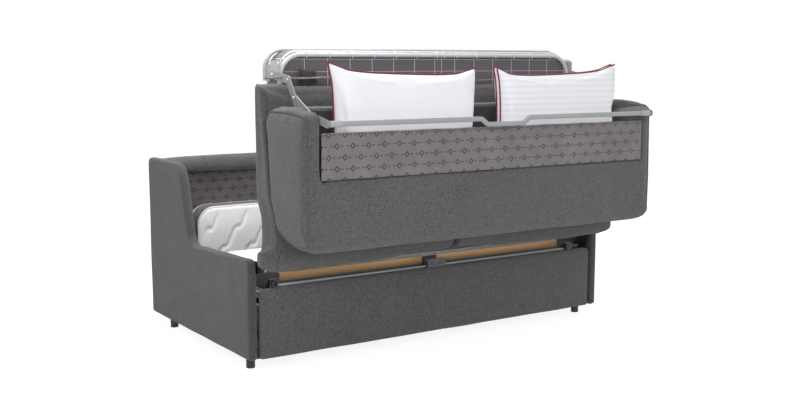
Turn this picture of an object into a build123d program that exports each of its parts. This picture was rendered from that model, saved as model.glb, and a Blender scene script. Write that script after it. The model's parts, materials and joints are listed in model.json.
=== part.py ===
from build123d import *
from math import atan2, cos, degrees, hypot, radians, sin, sqrt
import os

os.makedirs("parts", exist_ok=True)

# A front-folding sofa bed, standing half open: the seat and its folded backrest stand on edge over
# the plinth, with the foot section of the bed behind them, and the head section hangs upright inside
# the back.
# Millimetres. X runs along the sofa, Y to its back, Z up, and the origin is on the floor under the middle of
# the box that holds the half-open sofa bed. Places in Y are first given from the front face of the plinth.

# Driving sizes of the body
overall_width = 1800
body_depth = 1022
floor_gap = 49
arm_thickness = 38
wing_top = 760
wing_length = 367
wing_foot_length = 460
wing_front = body_depth - wing_length
wing_foot = body_depth - wing_foot_length
low_arm_rear = 424
low_arm_front = 443
plinth_top = 324
plinth_thickness = 22
back_thickness = 17
back_inner_face = body_depth - back_thickness
roll_depth = 92
roll_front = body_depth - roll_depth
roll_bottom = 690
roll_top = 755

# Clearances
gap = 0.3
slide_gap = 0.5
pillow_gap = 0.1
pin_play = 0.05
overrun = 20
seat_side_gap = 24
backrest_side_gap = 17
pivot_side_gap = 2

# Across the sofa: the seat and the backrest fit between the arms, and the bed fits inside the backrest
half_width = overall_width / 2
arm_inner = half_width - arm_thickness
seat_half_width = arm_inner - seat_side_gap
backrest_half_width = arm_inner - backrest_side_gap
backrest_side_width = 55
pad_edge_width = 59.5
frame_half_width = backrest_half_width - backrest_side_width - pad_edge_width
mattress_overhang = 1.5
mattress_half_width = frame_half_width + mattress_overhang
pivot_plate_thickness = 6
pivot_plate_inner = arm_inner - pivot_side_gap - pivot_plate_thickness
rail_width = 41.7
rail_outer = pivot_plate_inner - gap
rail_inner = rail_outer - rail_width
blade_thickness = 3
blade_inner = backrest_half_width - backrest_side_width - gap - blade_thickness
bar_end_reach = 5.7
bar_half_length = blade_inner - bar_end_reach

# The fold: places from the plinth face and the floor, at the half-open rest
pivot_y = -18
pivot_z = 413
backrest_hinge_y = -125
backrest_hinge_z = 955
head_hinge_setback = 64
head_hinge_y = body_depth - head_hinge_setback
head_hinge_z = 508
lift_length = 400
lift_root_y = 74
lift_closed_angle = -20.5
lift_rest_angle = 6.5

# Tubes, wires and plates
frame_radius = 9
frame_corner = 90
small_corner = 34
wire = 4
wire_pitch = 105
wire_margin = 65
net_lift = frame_radius - wire / 2
mattress_lift = frame_radius + gap
net_half_width = frame_half_width - sqrt(frame_radius**2 - (net_lift - wire / 2)**2) - gap
net_inset = frame_half_width - net_half_width
plate = 4
thick_plate = 5
pin_radius = 6
bush_radius = 11

# The mattress
mattress_thickness = 110
mattress_corner = 85
mattress_edge = 20
mattress_short_corner = 30

# The seat unit, standing on its nose
seat_split = 4
seat_back_face = 22
seat_rear_end = 1100
seat_rear_drop = 10
seat_rear_front = -25
seat_nose_front = -119
seat_nose_height = 450
seat_bottom_front = -92
seat_nose_depth = 60
seat_bottom = seat_nose_height - seat_nose_depth
seat_rear_round = 14
seat_nose_round = 40
seat_lower_round = 34
seat_under_round = 44
seat_edge = 11

# The foot section behind the seat
board_thickness = 15
foot_plane = seat_back_face + board_thickness + frame_radius
foot_low = 478
foot_top = 1220
hoop_standoff = 84
hoop_plane = foot_plane + hoop_standoff
hoop_radius = 7.5
hoop_rise = 17
hoop_leg = 108
hoop_foot = foot_top - hoop_leg
hoop_top = foot_top + hoop_rise
hoop_corner = 75

# The backrest, folded face down on the seat
backrest_rear = -372
backrest_end = 1020
backrest_crown = 505
backrest_face_near = -41.4
backrest_face_far = -95
backrest_face_height = 662
backrest_shoulder_y = -140
backrest_shoulder_z = 560
backrest_brow_y = -255
pocket_floor = 606
pocket_lining_drop = 163
pocket_lining_low = pocket_floor + pocket_lining_drop
bar_standoff = 43
bar_y = backrest_rear - bar_standoff
bar_setback = 50
bar_z = backrest_end - bar_setback
pocket_mouth = 34
pocket_lining_high = bar_z - pocket_mouth
bar_radius = 9.5
sleeve_radius = 11.5
sleeve_length = 50
blade_half_width = 14

# The head and middle sections
head_setback = 37
head_plane = body_depth - head_setback
head_low = 75
head_rise = 22
head_top = head_hinge_z + head_rise
middle_front = 47
middle_length = 520
middle_level = 67.5
front_board = 12

# The plinth face stands where the box of the whole is centred on the origin
plinth_face = (blade_half_width - bar_y - body_depth) / 2


def from_face(y):
    """A place in Y that is given from the front face of the plinth."""
    return plinth_face + y


def block(x0, x1, y0, y1, z0, z1, mode=Mode.ADD):
    """A box between two corners, with Y given from the plinth face."""
    with Locations(((x0 + x1) / 2, from_face((y0 + y1) / 2), (z0 + z1) / 2)):
        Box(x1 - x0, y1 - y0, z1 - z0, mode=mode)


def side_plane(x):
    """The plane across the sofa at x, where a sketch is drawn in Y from the plinth face and Z."""
    return Plane(origin=(x, plinth_face, 0), x_dir=(0, 1, 0), z_dir=(1, 0, 0))


def outline(corners):
    """A closed outline through corners (u, v, radius of the rounding)."""
    with BuildLine() as edge:
        radii = [radius for u, v, radius in corners]
        FilletPolyline(*[(u, v) for u, v, radius in corners], radius=radii, close=True)
    make_face(edge.edges())


def link_outline(points, half_width):
    """A flat link of even width with round ends, through points."""
    for (u0, v0), (u1, v1) in zip(points, points[1:]):
        length = hypot(u1 - u0, v1 - v0)
        with Locations(Location(((u0 + u1) / 2, (v0 + v1) / 2, 0), (0, 0, degrees(atan2(v1 - v0, u1 - u0))))):
            SlotOverall(length + 2 * half_width, 2 * half_width)


def tube(points, corners, radius, close=False):
    """A bent tube along points, with a list of corner radii."""
    with BuildLine() as run:
        FilletPolyline(*points, radius=corners, close=close)
    line = run.wires()[0]
    start = line @ 0.0
    with BuildSketch(Plane(origin=start, z_dir=line % 0.0)) as section:
        Circle(radius)
    sweep(sections=section.sketch, path=line)


def round_bar(x0, x1, y, z, radius, mode=Mode.ADD):
    """A round bar along X, with Y given from the plinth face."""
    with BuildSketch(side_plane(x0)) as section:
        with Locations((y, z)):
            Circle(radius)
    extrude(section.sketch, amount=x1 - x0, mode=mode)


def net(plane, width, length):
    """A welded wire net, one holed face thick as its wire, centred on a plane."""
    columns = int((width - wire) // wire_pitch)
    rows = int((length - 2 * wire_margin) // wire_pitch)
    inner = length - 2 * wire_margin
    gap_width = width / columns - wire
    gap_length = inner / rows - wire
    with BuildSketch(plane) as face:
        Rectangle(width, length)
        with GridLocations(width / columns, inner / rows, columns, rows):
            Rectangle(gap_width, gap_length, mode=Mode.SUBTRACT)
        with GridLocations(width / columns, length - wire_margin, columns, 2):
            Rectangle(gap_width, wire_margin - wire, mode=Mode.SUBTRACT)
    extrude(face.sketch, amount=wire / 2, both=True)


def upright_net(y, low, high):
    """A net that stands in its frame at y, with its corners rounded like the frame's."""
    net(Plane(origin=(0, from_face(y), (low + high) / 2), x_dir=(1, 0, 0), z_dir=(0, -1, 0)),
        2 * net_half_width, high - low)
    low_corner = small_corner - net_inset
    high_corner = frame_corner - net_inset
    with BuildSketch(Plane(origin=(0, from_face(y), 0), x_dir=(1, 0, 0), z_dir=(0, -1, 0))) as inside:
        outline([(-net_half_width, low, low_corner), (net_half_width, low, low_corner),
                 (net_half_width, high, high_corner), (-net_half_width, high, high_corner)])
    extrude(inside.sketch, amount=wire, both=True, mode=Mode.INTERSECT)


def mattress(plane, corners):
    """A mattress section that lies on a plane: rounded in plan, with its edges drawn in."""
    with BuildSketch(plane) as plan:
        outline(corners)
    extrude(plan.sketch, amount=mattress_thickness)
    flat_faces = faces().filter_by(GeomType.PLANE)
    ends = flat_faces.filter_by(lambda face: abs(face.normal_at().dot(plane.z_dir)) > 0.9)
    fillet(ends.edges(), mattress_edge)


def save(piece, name):
    """Label a finished piece and write it."""
    piece.part.label = name
    export_step(piece.part, f"parts/{name}.step")


SIDES = (("left", -1), ("right", 1))

# The arms: low in front, rising in a curve to the wings beside the back
arm_corner = 8
arm_edge = 7.2
arm_low_round = 26
wing_round = 80
foot_round = 70
wing_rear_round = 25
for name, side in SIDES:
    with BuildPart() as arm:
        with BuildSketch(side_plane(side * half_width if side < 0 else arm_inner)):
            outline([(0, floor_gap, arm_corner), (body_depth, floor_gap, arm_corner),
                     (body_depth, wing_top, wing_rear_round), (wing_front, wing_top, wing_round),
                     (wing_foot, low_arm_rear, foot_round), (0, low_arm_front, arm_low_round)])
        extrude(amount=arm_thickness)
        fillet((faces().sort_by(Axis.X)[0] + faces().sort_by(Axis.X)[-1]).edges(), arm_edge)
    save(arm, f"arm_{name}")

# The plinth: an upholstered panel between the arms
plinth_end_gap = 11
plinth_half_width = arm_inner - plinth_end_gap
plinth_corner = 22
plinth_edge = 5
with BuildPart() as front_plinth:
    with BuildSketch(Plane(origin=(0, plinth_face, 0), x_dir=(1, 0, 0), z_dir=(0, -1, 0))):
        outline([(-plinth_half_width, floor_gap, plinth_edge), (plinth_half_width, floor_gap, plinth_edge),
                 (plinth_half_width, plinth_top, plinth_corner),
                 (-plinth_half_width, plinth_top, plinth_corner)])
    extrude(amount=-plinth_thickness)
    fillet(faces().sort_by(Axis.Y)[0].edges(), plinth_edge)
save(front_plinth, "front_plinth")

# The back: a board, the padded roll on it and the printed lining inside
back_half_width = arm_inner - gap
roll_edge = 26
roll_end_round = 10
lining_thickness = 2.5
lining_side_gap = 87
lining_half_width = arm_inner - lining_side_gap
with BuildPart() as back_panel:
    block(-back_half_width, back_half_width, back_inner_face, body_depth, floor_gap, roll_bottom - gap)
save(back_panel, "back_panel")
with BuildPart() as back_roll:
    with BuildSketch(side_plane(-back_half_width)):
        outline([(roll_front, roll_bottom, roll_edge), (body_depth, roll_bottom, roll_end_round),
                 (body_depth, roll_top, roll_edge), (roll_front, roll_top, roll_edge)])
    extrude(amount=2 * back_half_width)
save(back_roll, "back_roll")
with BuildPart() as back_lining:
    block(-lining_half_width, lining_half_width, back_inner_face - gap - lining_thickness,
          back_inner_face - gap, floor_gap + overrun, roll_bottom - slide_gap)
save(back_lining, "back_lining")

# The base inside: rails, batten, dust panel and rear rail
rail_front = 24
rail_rear_gap = 3
rail_rear = back_inner_face - rail_rear_gap
rail_height = 46
batten_low = 100
batten_high = 245
batten_rear = 34
rear_rail_width = 52
rear_rail_front = rail_rear - rear_rail_width
rear_rail_height = 20
dust_panel_thickness = 3
with BuildPart() as base_rails:
    for side in (-1, 1):
        x0, x1 = sorted((side * rail_inner, side * rail_outer))
        block(x0, x1, rail_front, rail_rear, floor_gap, floor_gap + rail_height)
save(base_rails, "base_rails")
with BuildPart() as plinth_batten:
    block(-rail_inner + gap, rail_inner - gap, plinth_thickness + gap, batten_rear, batten_low, batten_high)
save(plinth_batten, "plinth_batten")
with BuildPart() as rear_rail:
    block(-rail_inner + gap, rail_inner - gap, rear_rail_front, rail_rear,
          floor_gap, floor_gap + rear_rail_height)
save(rear_rail, "rear_rail")
with BuildPart() as dust_panel:
    block(-rail_inner + gap, rail_inner - gap, plinth_thickness + gap, rear_rail_front - gap,
          floor_gap, floor_gap + dust_panel_thickness)
save(dust_panel, "dust_panel")

# The four feet: round plugs screwed under the side rails
foot_radius = 17.5
foot_inset = 47
front_foot_y = 90
rear_foot_inset = 150
foot_chamfer = 2
with BuildPart() as feet:
    for x in (-half_width + foot_inset, half_width - foot_inset):
        for y in (front_foot_y, body_depth - rear_foot_inset):
            with Locations((x, from_face(y), floor_gap / 2)):
                Cylinder(foot_radius, floor_gap)
    chamfer(faces().group_by(Axis.Z)[0].edges(), foot_chamfer)
save(feet, "feet")

# What shows behind the plinth: three steel brackets, two rods between them and an angle rail
bracket_front = pivot_y + pivot_z - seat_bottom + slide_gap
bracket_rear = 34
bracket_top = 356
bracket_low = 252
bracket_seat = 1
rod_radius = 5.5
rod_y = 28.3
rod_z = 328
angle_thickness = 3
angle_low = 256
angle_top = 342
left_bracket_setback = 60
left_bracket_width = 36
right_bracket_setback = 112
right_bracket_width = 34
left_bracket_end = left_bracket_setback - arm_inner
right_bracket_end = arm_inner - right_bracket_setback
centre_bracket_span = (-65, 22)
bracket_spans = {"left": (left_bracket_end, left_bracket_end + left_bracket_width),
                 "centre": centre_bracket_span,
                 "right": (right_bracket_end - right_bracket_width, right_bracket_end)}
tube_end_radius = 12
tube_end_bore = 9
tube_end_length = 8
for name, (x0, x1) in bracket_spans.items():
    with BuildPart() as bracket:
        with BuildSketch(side_plane(x0)):
            with BuildLine():
                behind = plinth_thickness + slide_gap
                front = bracket_front + (tube_end_length if name == "left" else 0)
                Polyline((front, plinth_top + bracket_seat), (behind, plinth_top + bracket_seat),
                         (behind, bracket_low), (bracket_rear, bracket_low),
                         (bracket_rear, bracket_top), (front, bracket_top), close=True)
            make_face()
        extrude(amount=x1 - x0)
        if name == "left":
            centre = ((x0 + x1) / 2, from_face(front), (plinth_top + bracket_top) / 2)
            with BuildSketch(Plane(origin=centre, x_dir=(1, 0, 0), z_dir=(0, -1, 0))) as ring:
                Circle(tube_end_radius)
                Circle(tube_end_bore, mode=Mode.SUBTRACT)
            extrude(ring.sketch, amount=tube_end_length)
    save(bracket, f"base_bracket_{name}")
with BuildPart() as front_rods:
    round_bar(bracket_spans["left"][1] + gap, bracket_spans["centre"][0] - gap, rod_y, rod_z, rod_radius)
    round_bar(bracket_spans["centre"][1] + gap, bracket_spans["right"][0] - gap, rod_y, rod_z, rod_radius)
save(front_rods, "front_rods")
with BuildPart() as angle_rail:
    block(-rail_inner + gap, rail_inner - gap, bracket_rear + gap, bracket_rear + gap + angle_thickness,
          angle_low, angle_top)
save(angle_rail, "angle_rail")

# The pivot plates stand beside the plinth and carry the whole folding seat on two pins
pivot_pin_radius = 8
pivot_pin_length = 47
pivot_pin_end = pivot_plate_inner - pivot_pin_length
pivot_boss_radius = 14
pivot_boss_length = 6.5
flange_thickness = 6
flange_outer = pivot_plate_inner - pivot_boss_length
flange_inner = flange_outer - flange_thickness
lug_half = 20
lug_round = 18
plate_neck = 40
plate_front = 30
plate_rear = 110
plate_low = 60
plate_shoulder = 330
plate_round = 12
with BuildPart() as pivot_plates:
    for side in (-1, 1):
        start = pivot_plate_inner if side > 0 else -pivot_plate_inner - pivot_plate_thickness
        with BuildSketch(side_plane(start)) as face:
            outline([(pivot_y - lug_half, pivot_z + lug_half, lug_round),
                     (pivot_y - lug_half, pivot_z - lug_half, lug_round),
                     (pivot_y + lug_half, pivot_z - lug_half, lug_half),
                     (plate_front, plate_shoulder, plate_round), (plate_front, plate_low, 0),
                     (plate_rear, plate_low, 0), (plate_rear, plate_shoulder, plate_neck),
                     (plate_neck, pivot_z + lug_half, plate_neck)])
        extrude(face.sketch, amount=pivot_plate_thickness)
        x0, x1 = sorted((side * pivot_pin_end, side * pivot_plate_inner))
        round_bar(x0, x1, pivot_y, pivot_z, pivot_pin_radius)
        x0, x1 = sorted((side * (flange_outer + slide_gap), side * pivot_plate_inner))
        round_bar(x0, x1, pivot_y, pivot_z, pivot_boss_radius)
save(pivot_plates, "pivot_plates")

# The flanged bushes turn on those pins, and the seat's pivot tube turns on the bushes
bush_outer = 11.5
bush_overhang = 7
bush_end = pivot_pin_end - bush_overhang
flange_radius = 21
pivot_tube_radius = 15
with BuildPart() as pivot_bushes:
    for side in (-1, 1):
        inner, flange, outer = side * bush_end, side * flange_inner, side * flange_outer
        round_bar(min(inner, flange), max(inner, flange), pivot_y, pivot_z, bush_outer)
        round_bar(min(flange, outer), max(flange, outer), pivot_y, pivot_z, flange_radius)
        bore_end = side * (pivot_pin_end - slide_gap)
        round_bar(min(bore_end, outer), max(bore_end, outer), pivot_y, pivot_z, pivot_pin_radius + pin_play,
                  mode=Mode.SUBTRACT)
save(pivot_bushes, "pivot_bushes")
with BuildPart() as pivot_tube:
    round_bar(-flange_inner + slide_gap, flange_inner - slide_gap, pivot_y, pivot_z, pivot_tube_radius)
    round_bar(-flange_inner, flange_inner, pivot_y, pivot_z, bush_outer + pin_play, mode=Mode.SUBTRACT)
save(pivot_tube, "pivot_tube")

# The seat: two cushions side by side, thick at the nose and thin at the rear, on a plywood board
board_nose_gap = 50
board_rear_gap = 10
board_side_gap = 18
board_low = seat_nose_height + board_nose_gap
board_high = seat_rear_end - board_rear_gap
board_half_width = seat_half_width - board_side_gap
end_strip = 2.5
end_strip_inset = 10
seat_shoulder_width = 17
seat_waist_low = 600
seat_waist_high = 690
ear_width = 42
ear_edge = 10
ear_rear = pivot_y - (low_arm_front - pivot_z) - slide_gap
ear_low = pivot_z + pivot_y + slide_gap * 4
ear_high = 490
for name, side in SIDES:
    with BuildPart() as cushion:
        x0, x1 = sorted((side * seat_split / 2, side * seat_half_width))
        start, end = sorted((side * seat_split / 2, side * (seat_half_width + seat_shoulder_width)))
        with BuildSketch(side_plane(start)):
            outline([(seat_back_face, seat_rear_end, seat_rear_round),
                     (seat_rear_front, seat_rear_end - seat_rear_drop, seat_rear_round),
                     (seat_nose_front, seat_nose_height, seat_nose_round),
                     (seat_bottom_front, seat_bottom, seat_lower_round),
                     (seat_back_face, seat_bottom, seat_under_round)])
        extrude(amount=end - start)
        fillet((faces().sort_by(Axis.X)[0] + faces().sort_by(Axis.X)[-1]).edges(), seat_edge)
        waist = side * seat_half_width
        shoulder = side * (seat_half_width + seat_shoulder_width + overrun)
        with BuildSketch(Plane(origin=(0, from_face(seat_nose_front - overrun), 0), x_dir=(1, 0, 0),
                               z_dir=(0, -1, 0))) as hollow:
            with BuildLine():
                Polyline((waist, seat_bottom - overrun), (waist, seat_waist_low),
                         (waist + side * seat_shoulder_width, seat_waist_high), (shoulder, seat_waist_high),
                         (shoulder, seat_bottom - overrun), close=True)
            make_face()
        extrude(hollow.sketch, amount=seat_nose_front - seat_back_face - 2 * overrun, mode=Mode.SUBTRACT)
        start, end = sorted((waist, waist + side * ear_width))
        with BuildPart(mode=Mode.PRIVATE) as ear:
            block(start, end, seat_nose_front + seat_edge, ear_rear, ear_low, ear_high)
            fillet(faces().sort_by(Axis.X)[-1 if side > 0 else 0].edges(), ear_edge)
        add(ear.part)
        round_bar(x0 - overrun, x1 + overrun, pivot_y, pivot_z, pivot_tube_radius + gap, mode=Mode.SUBTRACT)
    save(cushion, f"seat_cushion_{name}")
with BuildPart() as seat_board:
    block(-board_half_width, board_half_width, seat_back_face + gap, seat_back_face + board_thickness - gap,
          board_low, board_high)
save(seat_board, "seat_board")
end_slope = seat_rear_drop / (seat_back_face - seat_rear_front)
with BuildPart() as seat_end_lining:
    strip_front, strip_rear = seat_rear_front + end_strip_inset, seat_back_face - end_strip_inset
    front_z = seat_rear_end - seat_rear_drop + gap + end_strip_inset * end_slope
    rear_z = seat_rear_end + gap - end_strip_inset * end_slope
    with BuildSketch(side_plane(-board_half_width)):
        with BuildLine():
            Polyline((strip_front, front_z), (strip_rear, rear_z), (strip_rear, rear_z + end_strip),
                     (strip_front, front_z + end_strip), close=True)
        make_face()
    extrude(amount=2 * board_half_width)
save(seat_end_lining, "seat_end_lining")

# The foot section: a tube frame, its net, a mattress section and the hoop that holds the bedding
with BuildPart() as foot_frame:
    z_low = foot_low + frame_radius
    z_high = foot_top - frame_radius
    y = from_face(foot_plane)
    tube([(-frame_half_width, y, z_low), (frame_half_width, y, z_low),
          (frame_half_width, y, z_high), (-frame_half_width, y, z_high)],
         [small_corner, small_corner, frame_corner, frame_corner], frame_radius, close=True)
save(foot_frame, "foot_frame")
with BuildPart() as foot_net:
    upright_net(foot_plane + net_lift, foot_low + frame_radius + net_inset,
                foot_top - frame_radius - net_inset)
save(foot_net, "foot_net")
foot_mattress_setback = 6
foot_mattress_top = foot_top - foot_mattress_setback
with BuildPart() as foot_mattress:
    mattress(Plane(origin=(0, from_face(foot_plane + mattress_lift), 0), x_dir=(-1, 0, 0), z_dir=(0, 1, 0)),
             [(-mattress_half_width, foot_low, mattress_short_corner),
              (mattress_half_width, foot_low, mattress_short_corner),
              (mattress_half_width, foot_mattress_top, mattress_corner),
              (-mattress_half_width, foot_mattress_top, mattress_corner)])
save(foot_mattress, "foot_mattress")
hoop_plate_inner = frame_half_width + frame_radius + gap
hoop_half_width = hoop_plate_inner + plate + gap + hoop_radius
with BuildPart() as retaining_hoop:
    y = from_face(hoop_plane)
    z = hoop_top - hoop_radius
    tube([(-hoop_half_width, y, hoop_foot), (-hoop_half_width, y, z),
          (hoop_half_width, y, z), (hoop_half_width, y, hoop_foot)], [hoop_corner, hoop_corner], hoop_radius)
save(retaining_hoop, "retaining_hoop")
hoop_plate_drop = 31
hoop_plate_height = 65
hoop_plate_foot = 14
hoop_plate_reach = 20
hoop_plate_side = 14
hoop_plate_rear = hoop_plane - hoop_radius - gap
hoop_plate_round = 8
hoop_plate_top = foot_top - hoop_plate_drop
hoop_plate_low = hoop_plate_top - hoop_plate_height
with BuildPart() as hoop_plates:
    for side in (-1, 1):
        start = hoop_plate_inner if side > 0 else -hoop_plate_inner - plate
        with BuildSketch(side_plane(start)) as face:
            outline([(foot_plane - hoop_plate_reach, hoop_plate_low, hoop_plate_round),
                     (hoop_plate_rear - hoop_plate_side, hoop_plate_low, hoop_plate_round / 2),
                     (hoop_plate_rear - hoop_plate_side, hoop_plate_low - hoop_plate_foot, 0),
                     (hoop_plate_rear, hoop_plate_low - hoop_plate_foot, 0),
                     (hoop_plate_rear, hoop_plate_top, 0),
                     (foot_plane - hoop_plate_reach, hoop_plate_top, hoop_plate_round)])
        extrude(face.sketch, amount=plate)
save(hoop_plates, "hoop_plates")

# The L brackets reach from the foot frame over the seat's end to the hinge of the backrest
l_bracket_inner = hoop_plate_inner + plate + gap
l_half_width = 15
l_start_y = 72
l_start_z = 1136
l_elbow_y = -52
l_elbow_z = 1118
l_knee_y = -128
l_knee_z = 1012
strut_inset = 2.4
strut_points = [(-98, 1066), (-222, 1002), (-222, 985), (-120, 1000)]
hinge_pin_radius = 5
hinge_pin_overhang = 2.3
hinge_pin_end = blade_inner + blade_thickness + hinge_pin_overhang
for name, side in SIDES:
    with BuildPart() as l_bracket:
        start = l_bracket_inner if side > 0 else -l_bracket_inner - thick_plate
        with BuildSketch(side_plane(start)) as face:
            link_outline([(l_start_y, l_start_z), (l_elbow_y, l_elbow_z), (l_knee_y, l_knee_z),
                          (backrest_hinge_y, backrest_hinge_z)], l_half_width)
        extrude(face.sketch, amount=thick_plate)
        strut_start = l_bracket_inner - strut_inset if side > 0 else -l_bracket_inner - strut_inset
        with BuildSketch(side_plane(strut_start)) as strut:
            with BuildLine():
                Polyline(*strut_points, close=True)
            make_face()
        extrude(strut.sketch, amount=2 * strut_inset)
        x0, x1 = sorted((side * l_bracket_inner, side * hinge_pin_end))
        round_bar(x0, x1, backrest_hinge_y, backrest_hinge_z, hinge_pin_radius)
    save(l_bracket, f"l_bracket_{name}")
bolt_radius = 6
bolt_height = 3.5
l_lower_bolt_share = 0.62
with BuildPart() as frame_bolts:
    lower_y = l_elbow_y + (l_knee_y - l_elbow_y) * l_lower_bolt_share
    lower_z = l_elbow_z + (l_knee_z - l_elbow_z) * l_lower_bolt_share
    plate_bolt_z = hoop_plate_top - hoop_plate_foot
    for side in (-1, 1):
        for y, z, face_x in ((l_start_y, l_start_z, l_bracket_inner + thick_plate),
                             (l_elbow_y, l_elbow_z, l_bracket_inner + thick_plate),
                             (lower_y, lower_z, l_bracket_inner + thick_plate),
                             (hoop_plane - 2 * hoop_plate_foot, plate_bolt_z, hoop_plate_inner + plate),
                             (foot_plane - hoop_plate_foot, plate_bolt_z, hoop_plate_inner + plate)):
            x0, x1 = sorted((side * face_x, side * (face_x + bolt_height)))
            round_bar(x0, x1, y, z, bolt_radius)
save(frame_bolts, "frame_bolts")

# The backrest: a pad between two padded sides, with a pocket for the pillows in its rear
pad_half_width = backrest_half_width - backrest_side_width - slide_gap - blade_thickness - 2 * gap
face_round = 60
cheek_round = 90
shoulder_round = 50
brow_round = 34
end_round = 8
slot_side_gap = 3
slot_inner = l_bracket_inner - slot_side_gap
slot_outer = l_bracket_inner + thick_plate + bolt_height + slot_side_gap
slot_depth = 110
slot_floor = backrest_hinge_z - slot_depth
pad_rear = -195
with BuildPart() as backrest_pad:
    with BuildSketch(side_plane(-pad_half_width)):
        outline([(pad_rear, backrest_end, end_round), (backrest_face_near, backrest_end, face_round),
                 (backrest_face_far, backrest_face_height, cheek_round),
                 (backrest_shoulder_y, backrest_shoulder_z, shoulder_round),
                 (backrest_brow_y, backrest_crown, brow_round), (backrest_rear, backrest_crown, brow_round),
                 (backrest_rear, pocket_floor, end_round), (pad_rear, pocket_floor, end_round)])
    extrude(amount=2 * pad_half_width)
    for side in (-1, 1):
        x0, x1 = sorted((side * slot_inner, side * slot_outer))
        block(x0, x1, pad_rear - overrun, backrest_face_near + overrun, slot_floor, backrest_end + overrun,
              mode=Mode.SUBTRACT)
        x0, x1 = sorted((side * slot_inner, side * (pad_half_width + overrun)))
        round_bar(x0, x1, backrest_hinge_y, backrest_hinge_z, hinge_pin_radius + slide_gap,
                  mode=Mode.SUBTRACT)
save(backrest_pad, "backrest_pad")
inner_board_thickness = 8
inner_board_foot = 6
inner_board_head = 10
inner_board_low = pocket_floor + inner_board_foot
inner_board_high = backrest_end - inner_board_head
with BuildPart() as backrest_board:
    block(-slot_inner + gap, slot_inner - gap, pad_rear - gap - inner_board_thickness, pad_rear - gap,
          inner_board_low, inner_board_high)
save(backrest_board, "backrest_board")
side_round = 45
side_edge = 14
side_drop = 14
side_top_round = 38
side_brow_y = -230
for name, side in SIDES:
    with BuildPart() as backrest_side:
        x0, x1 = sorted((side * (backrest_half_width - backrest_side_width), side * backrest_half_width))
        with BuildSketch(side_plane(x0)):
            outline([(backrest_rear, backrest_end - side_drop, side_top_round),
                     (side_brow_y, backrest_end, face_round),
                     (backrest_face_near, backrest_end, face_round),
                     (backrest_face_far, backrest_face_height, cheek_round),
                     (backrest_shoulder_y, backrest_shoulder_z, shoulder_round),
                     (backrest_brow_y, backrest_crown, brow_round),
                     (backrest_rear, backrest_crown, side_round)])
        extrude(amount=x1 - x0)
        outer_face = faces().sort_by(Axis.X)[-1 if side > 0 else 0]
        fillet(outer_face.edges(), side_edge)
        pin_end = side * (hinge_pin_end + slide_gap)
        x0, x1 = sorted((side * (backrest_half_width - backrest_side_width - overrun), pin_end))
        round_bar(x0, x1, backrest_hinge_y, backrest_hinge_z, hinge_pin_radius + slide_gap,
                  mode=Mode.SUBTRACT)
    save(backrest_side, f"backrest_side_{name}")
rear_skin = 10
with BuildPart() as backrest_rear_panel:
    block(-pad_half_width, pad_half_width, backrest_rear, backrest_rear + rear_skin,
          pocket_floor + gap, pocket_lining_low - gap)
save(backrest_rear_panel, "backrest_rear_panel")
with BuildPart() as pocket_lining:
    block(-pad_half_width, pad_half_width, backrest_rear, backrest_rear + rear_skin,
          pocket_lining_low, pocket_lining_high)
save(pocket_lining, "pocket_lining")

# The bar across the backrest, which stands on the floor as a leg when the bed is open
dip = 22
dip_half_width = 90
dip_slope = 26
bar_bend = 30
blade_elbow_y = -350
blade_elbow_z = 984
with BuildPart() as pillow_bar:
    y = from_face(bar_y)
    tube([(-bar_half_length, y, bar_z), (-dip_half_width - dip_slope, y, bar_z),
          (-dip_half_width, y, bar_z - dip), (dip_half_width, y, bar_z - dip),
          (dip_half_width + dip_slope, y, bar_z), (bar_half_length, y, bar_z)],
         [bar_bend, bar_bend, bar_bend, bar_bend], bar_radius)
save(pillow_bar, "pillow_bar")
with BuildPart() as bar_sleeves:
    for side in (-1, 1):
        x0, x1 = sorted((side * (bar_half_length - sleeve_length), side * (bar_half_length - gap)))
        round_bar(x0, x1, bar_y, bar_z, sleeve_radius)
        round_bar(x0, x1, bar_y, bar_z, bar_radius + pin_play, mode=Mode.SUBTRACT)
save(bar_sleeves, "bar_sleeves")
with BuildPart() as bar_blades:
    for side in (-1, 1):
        start = blade_inner if side > 0 else -blade_inner - blade_thickness
        with BuildSketch(side_plane(start)) as face:
            link_outline([(backrest_hinge_y, backrest_hinge_z), (blade_elbow_y, blade_elbow_z),
                          (bar_y, bar_z)], blade_half_width)
            with Locations((backrest_hinge_y, backrest_hinge_z)):
                Circle(hinge_pin_radius + pin_play, mode=Mode.SUBTRACT)
        extrude(face.sketch, amount=blade_thickness)
        x0, x1 = sorted((side * (bar_half_length + gap), side * blade_inner))
        round_bar(x0, x1, bar_y, bar_z, bar_radius)
save(bar_blades, "bar_blades")

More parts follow.
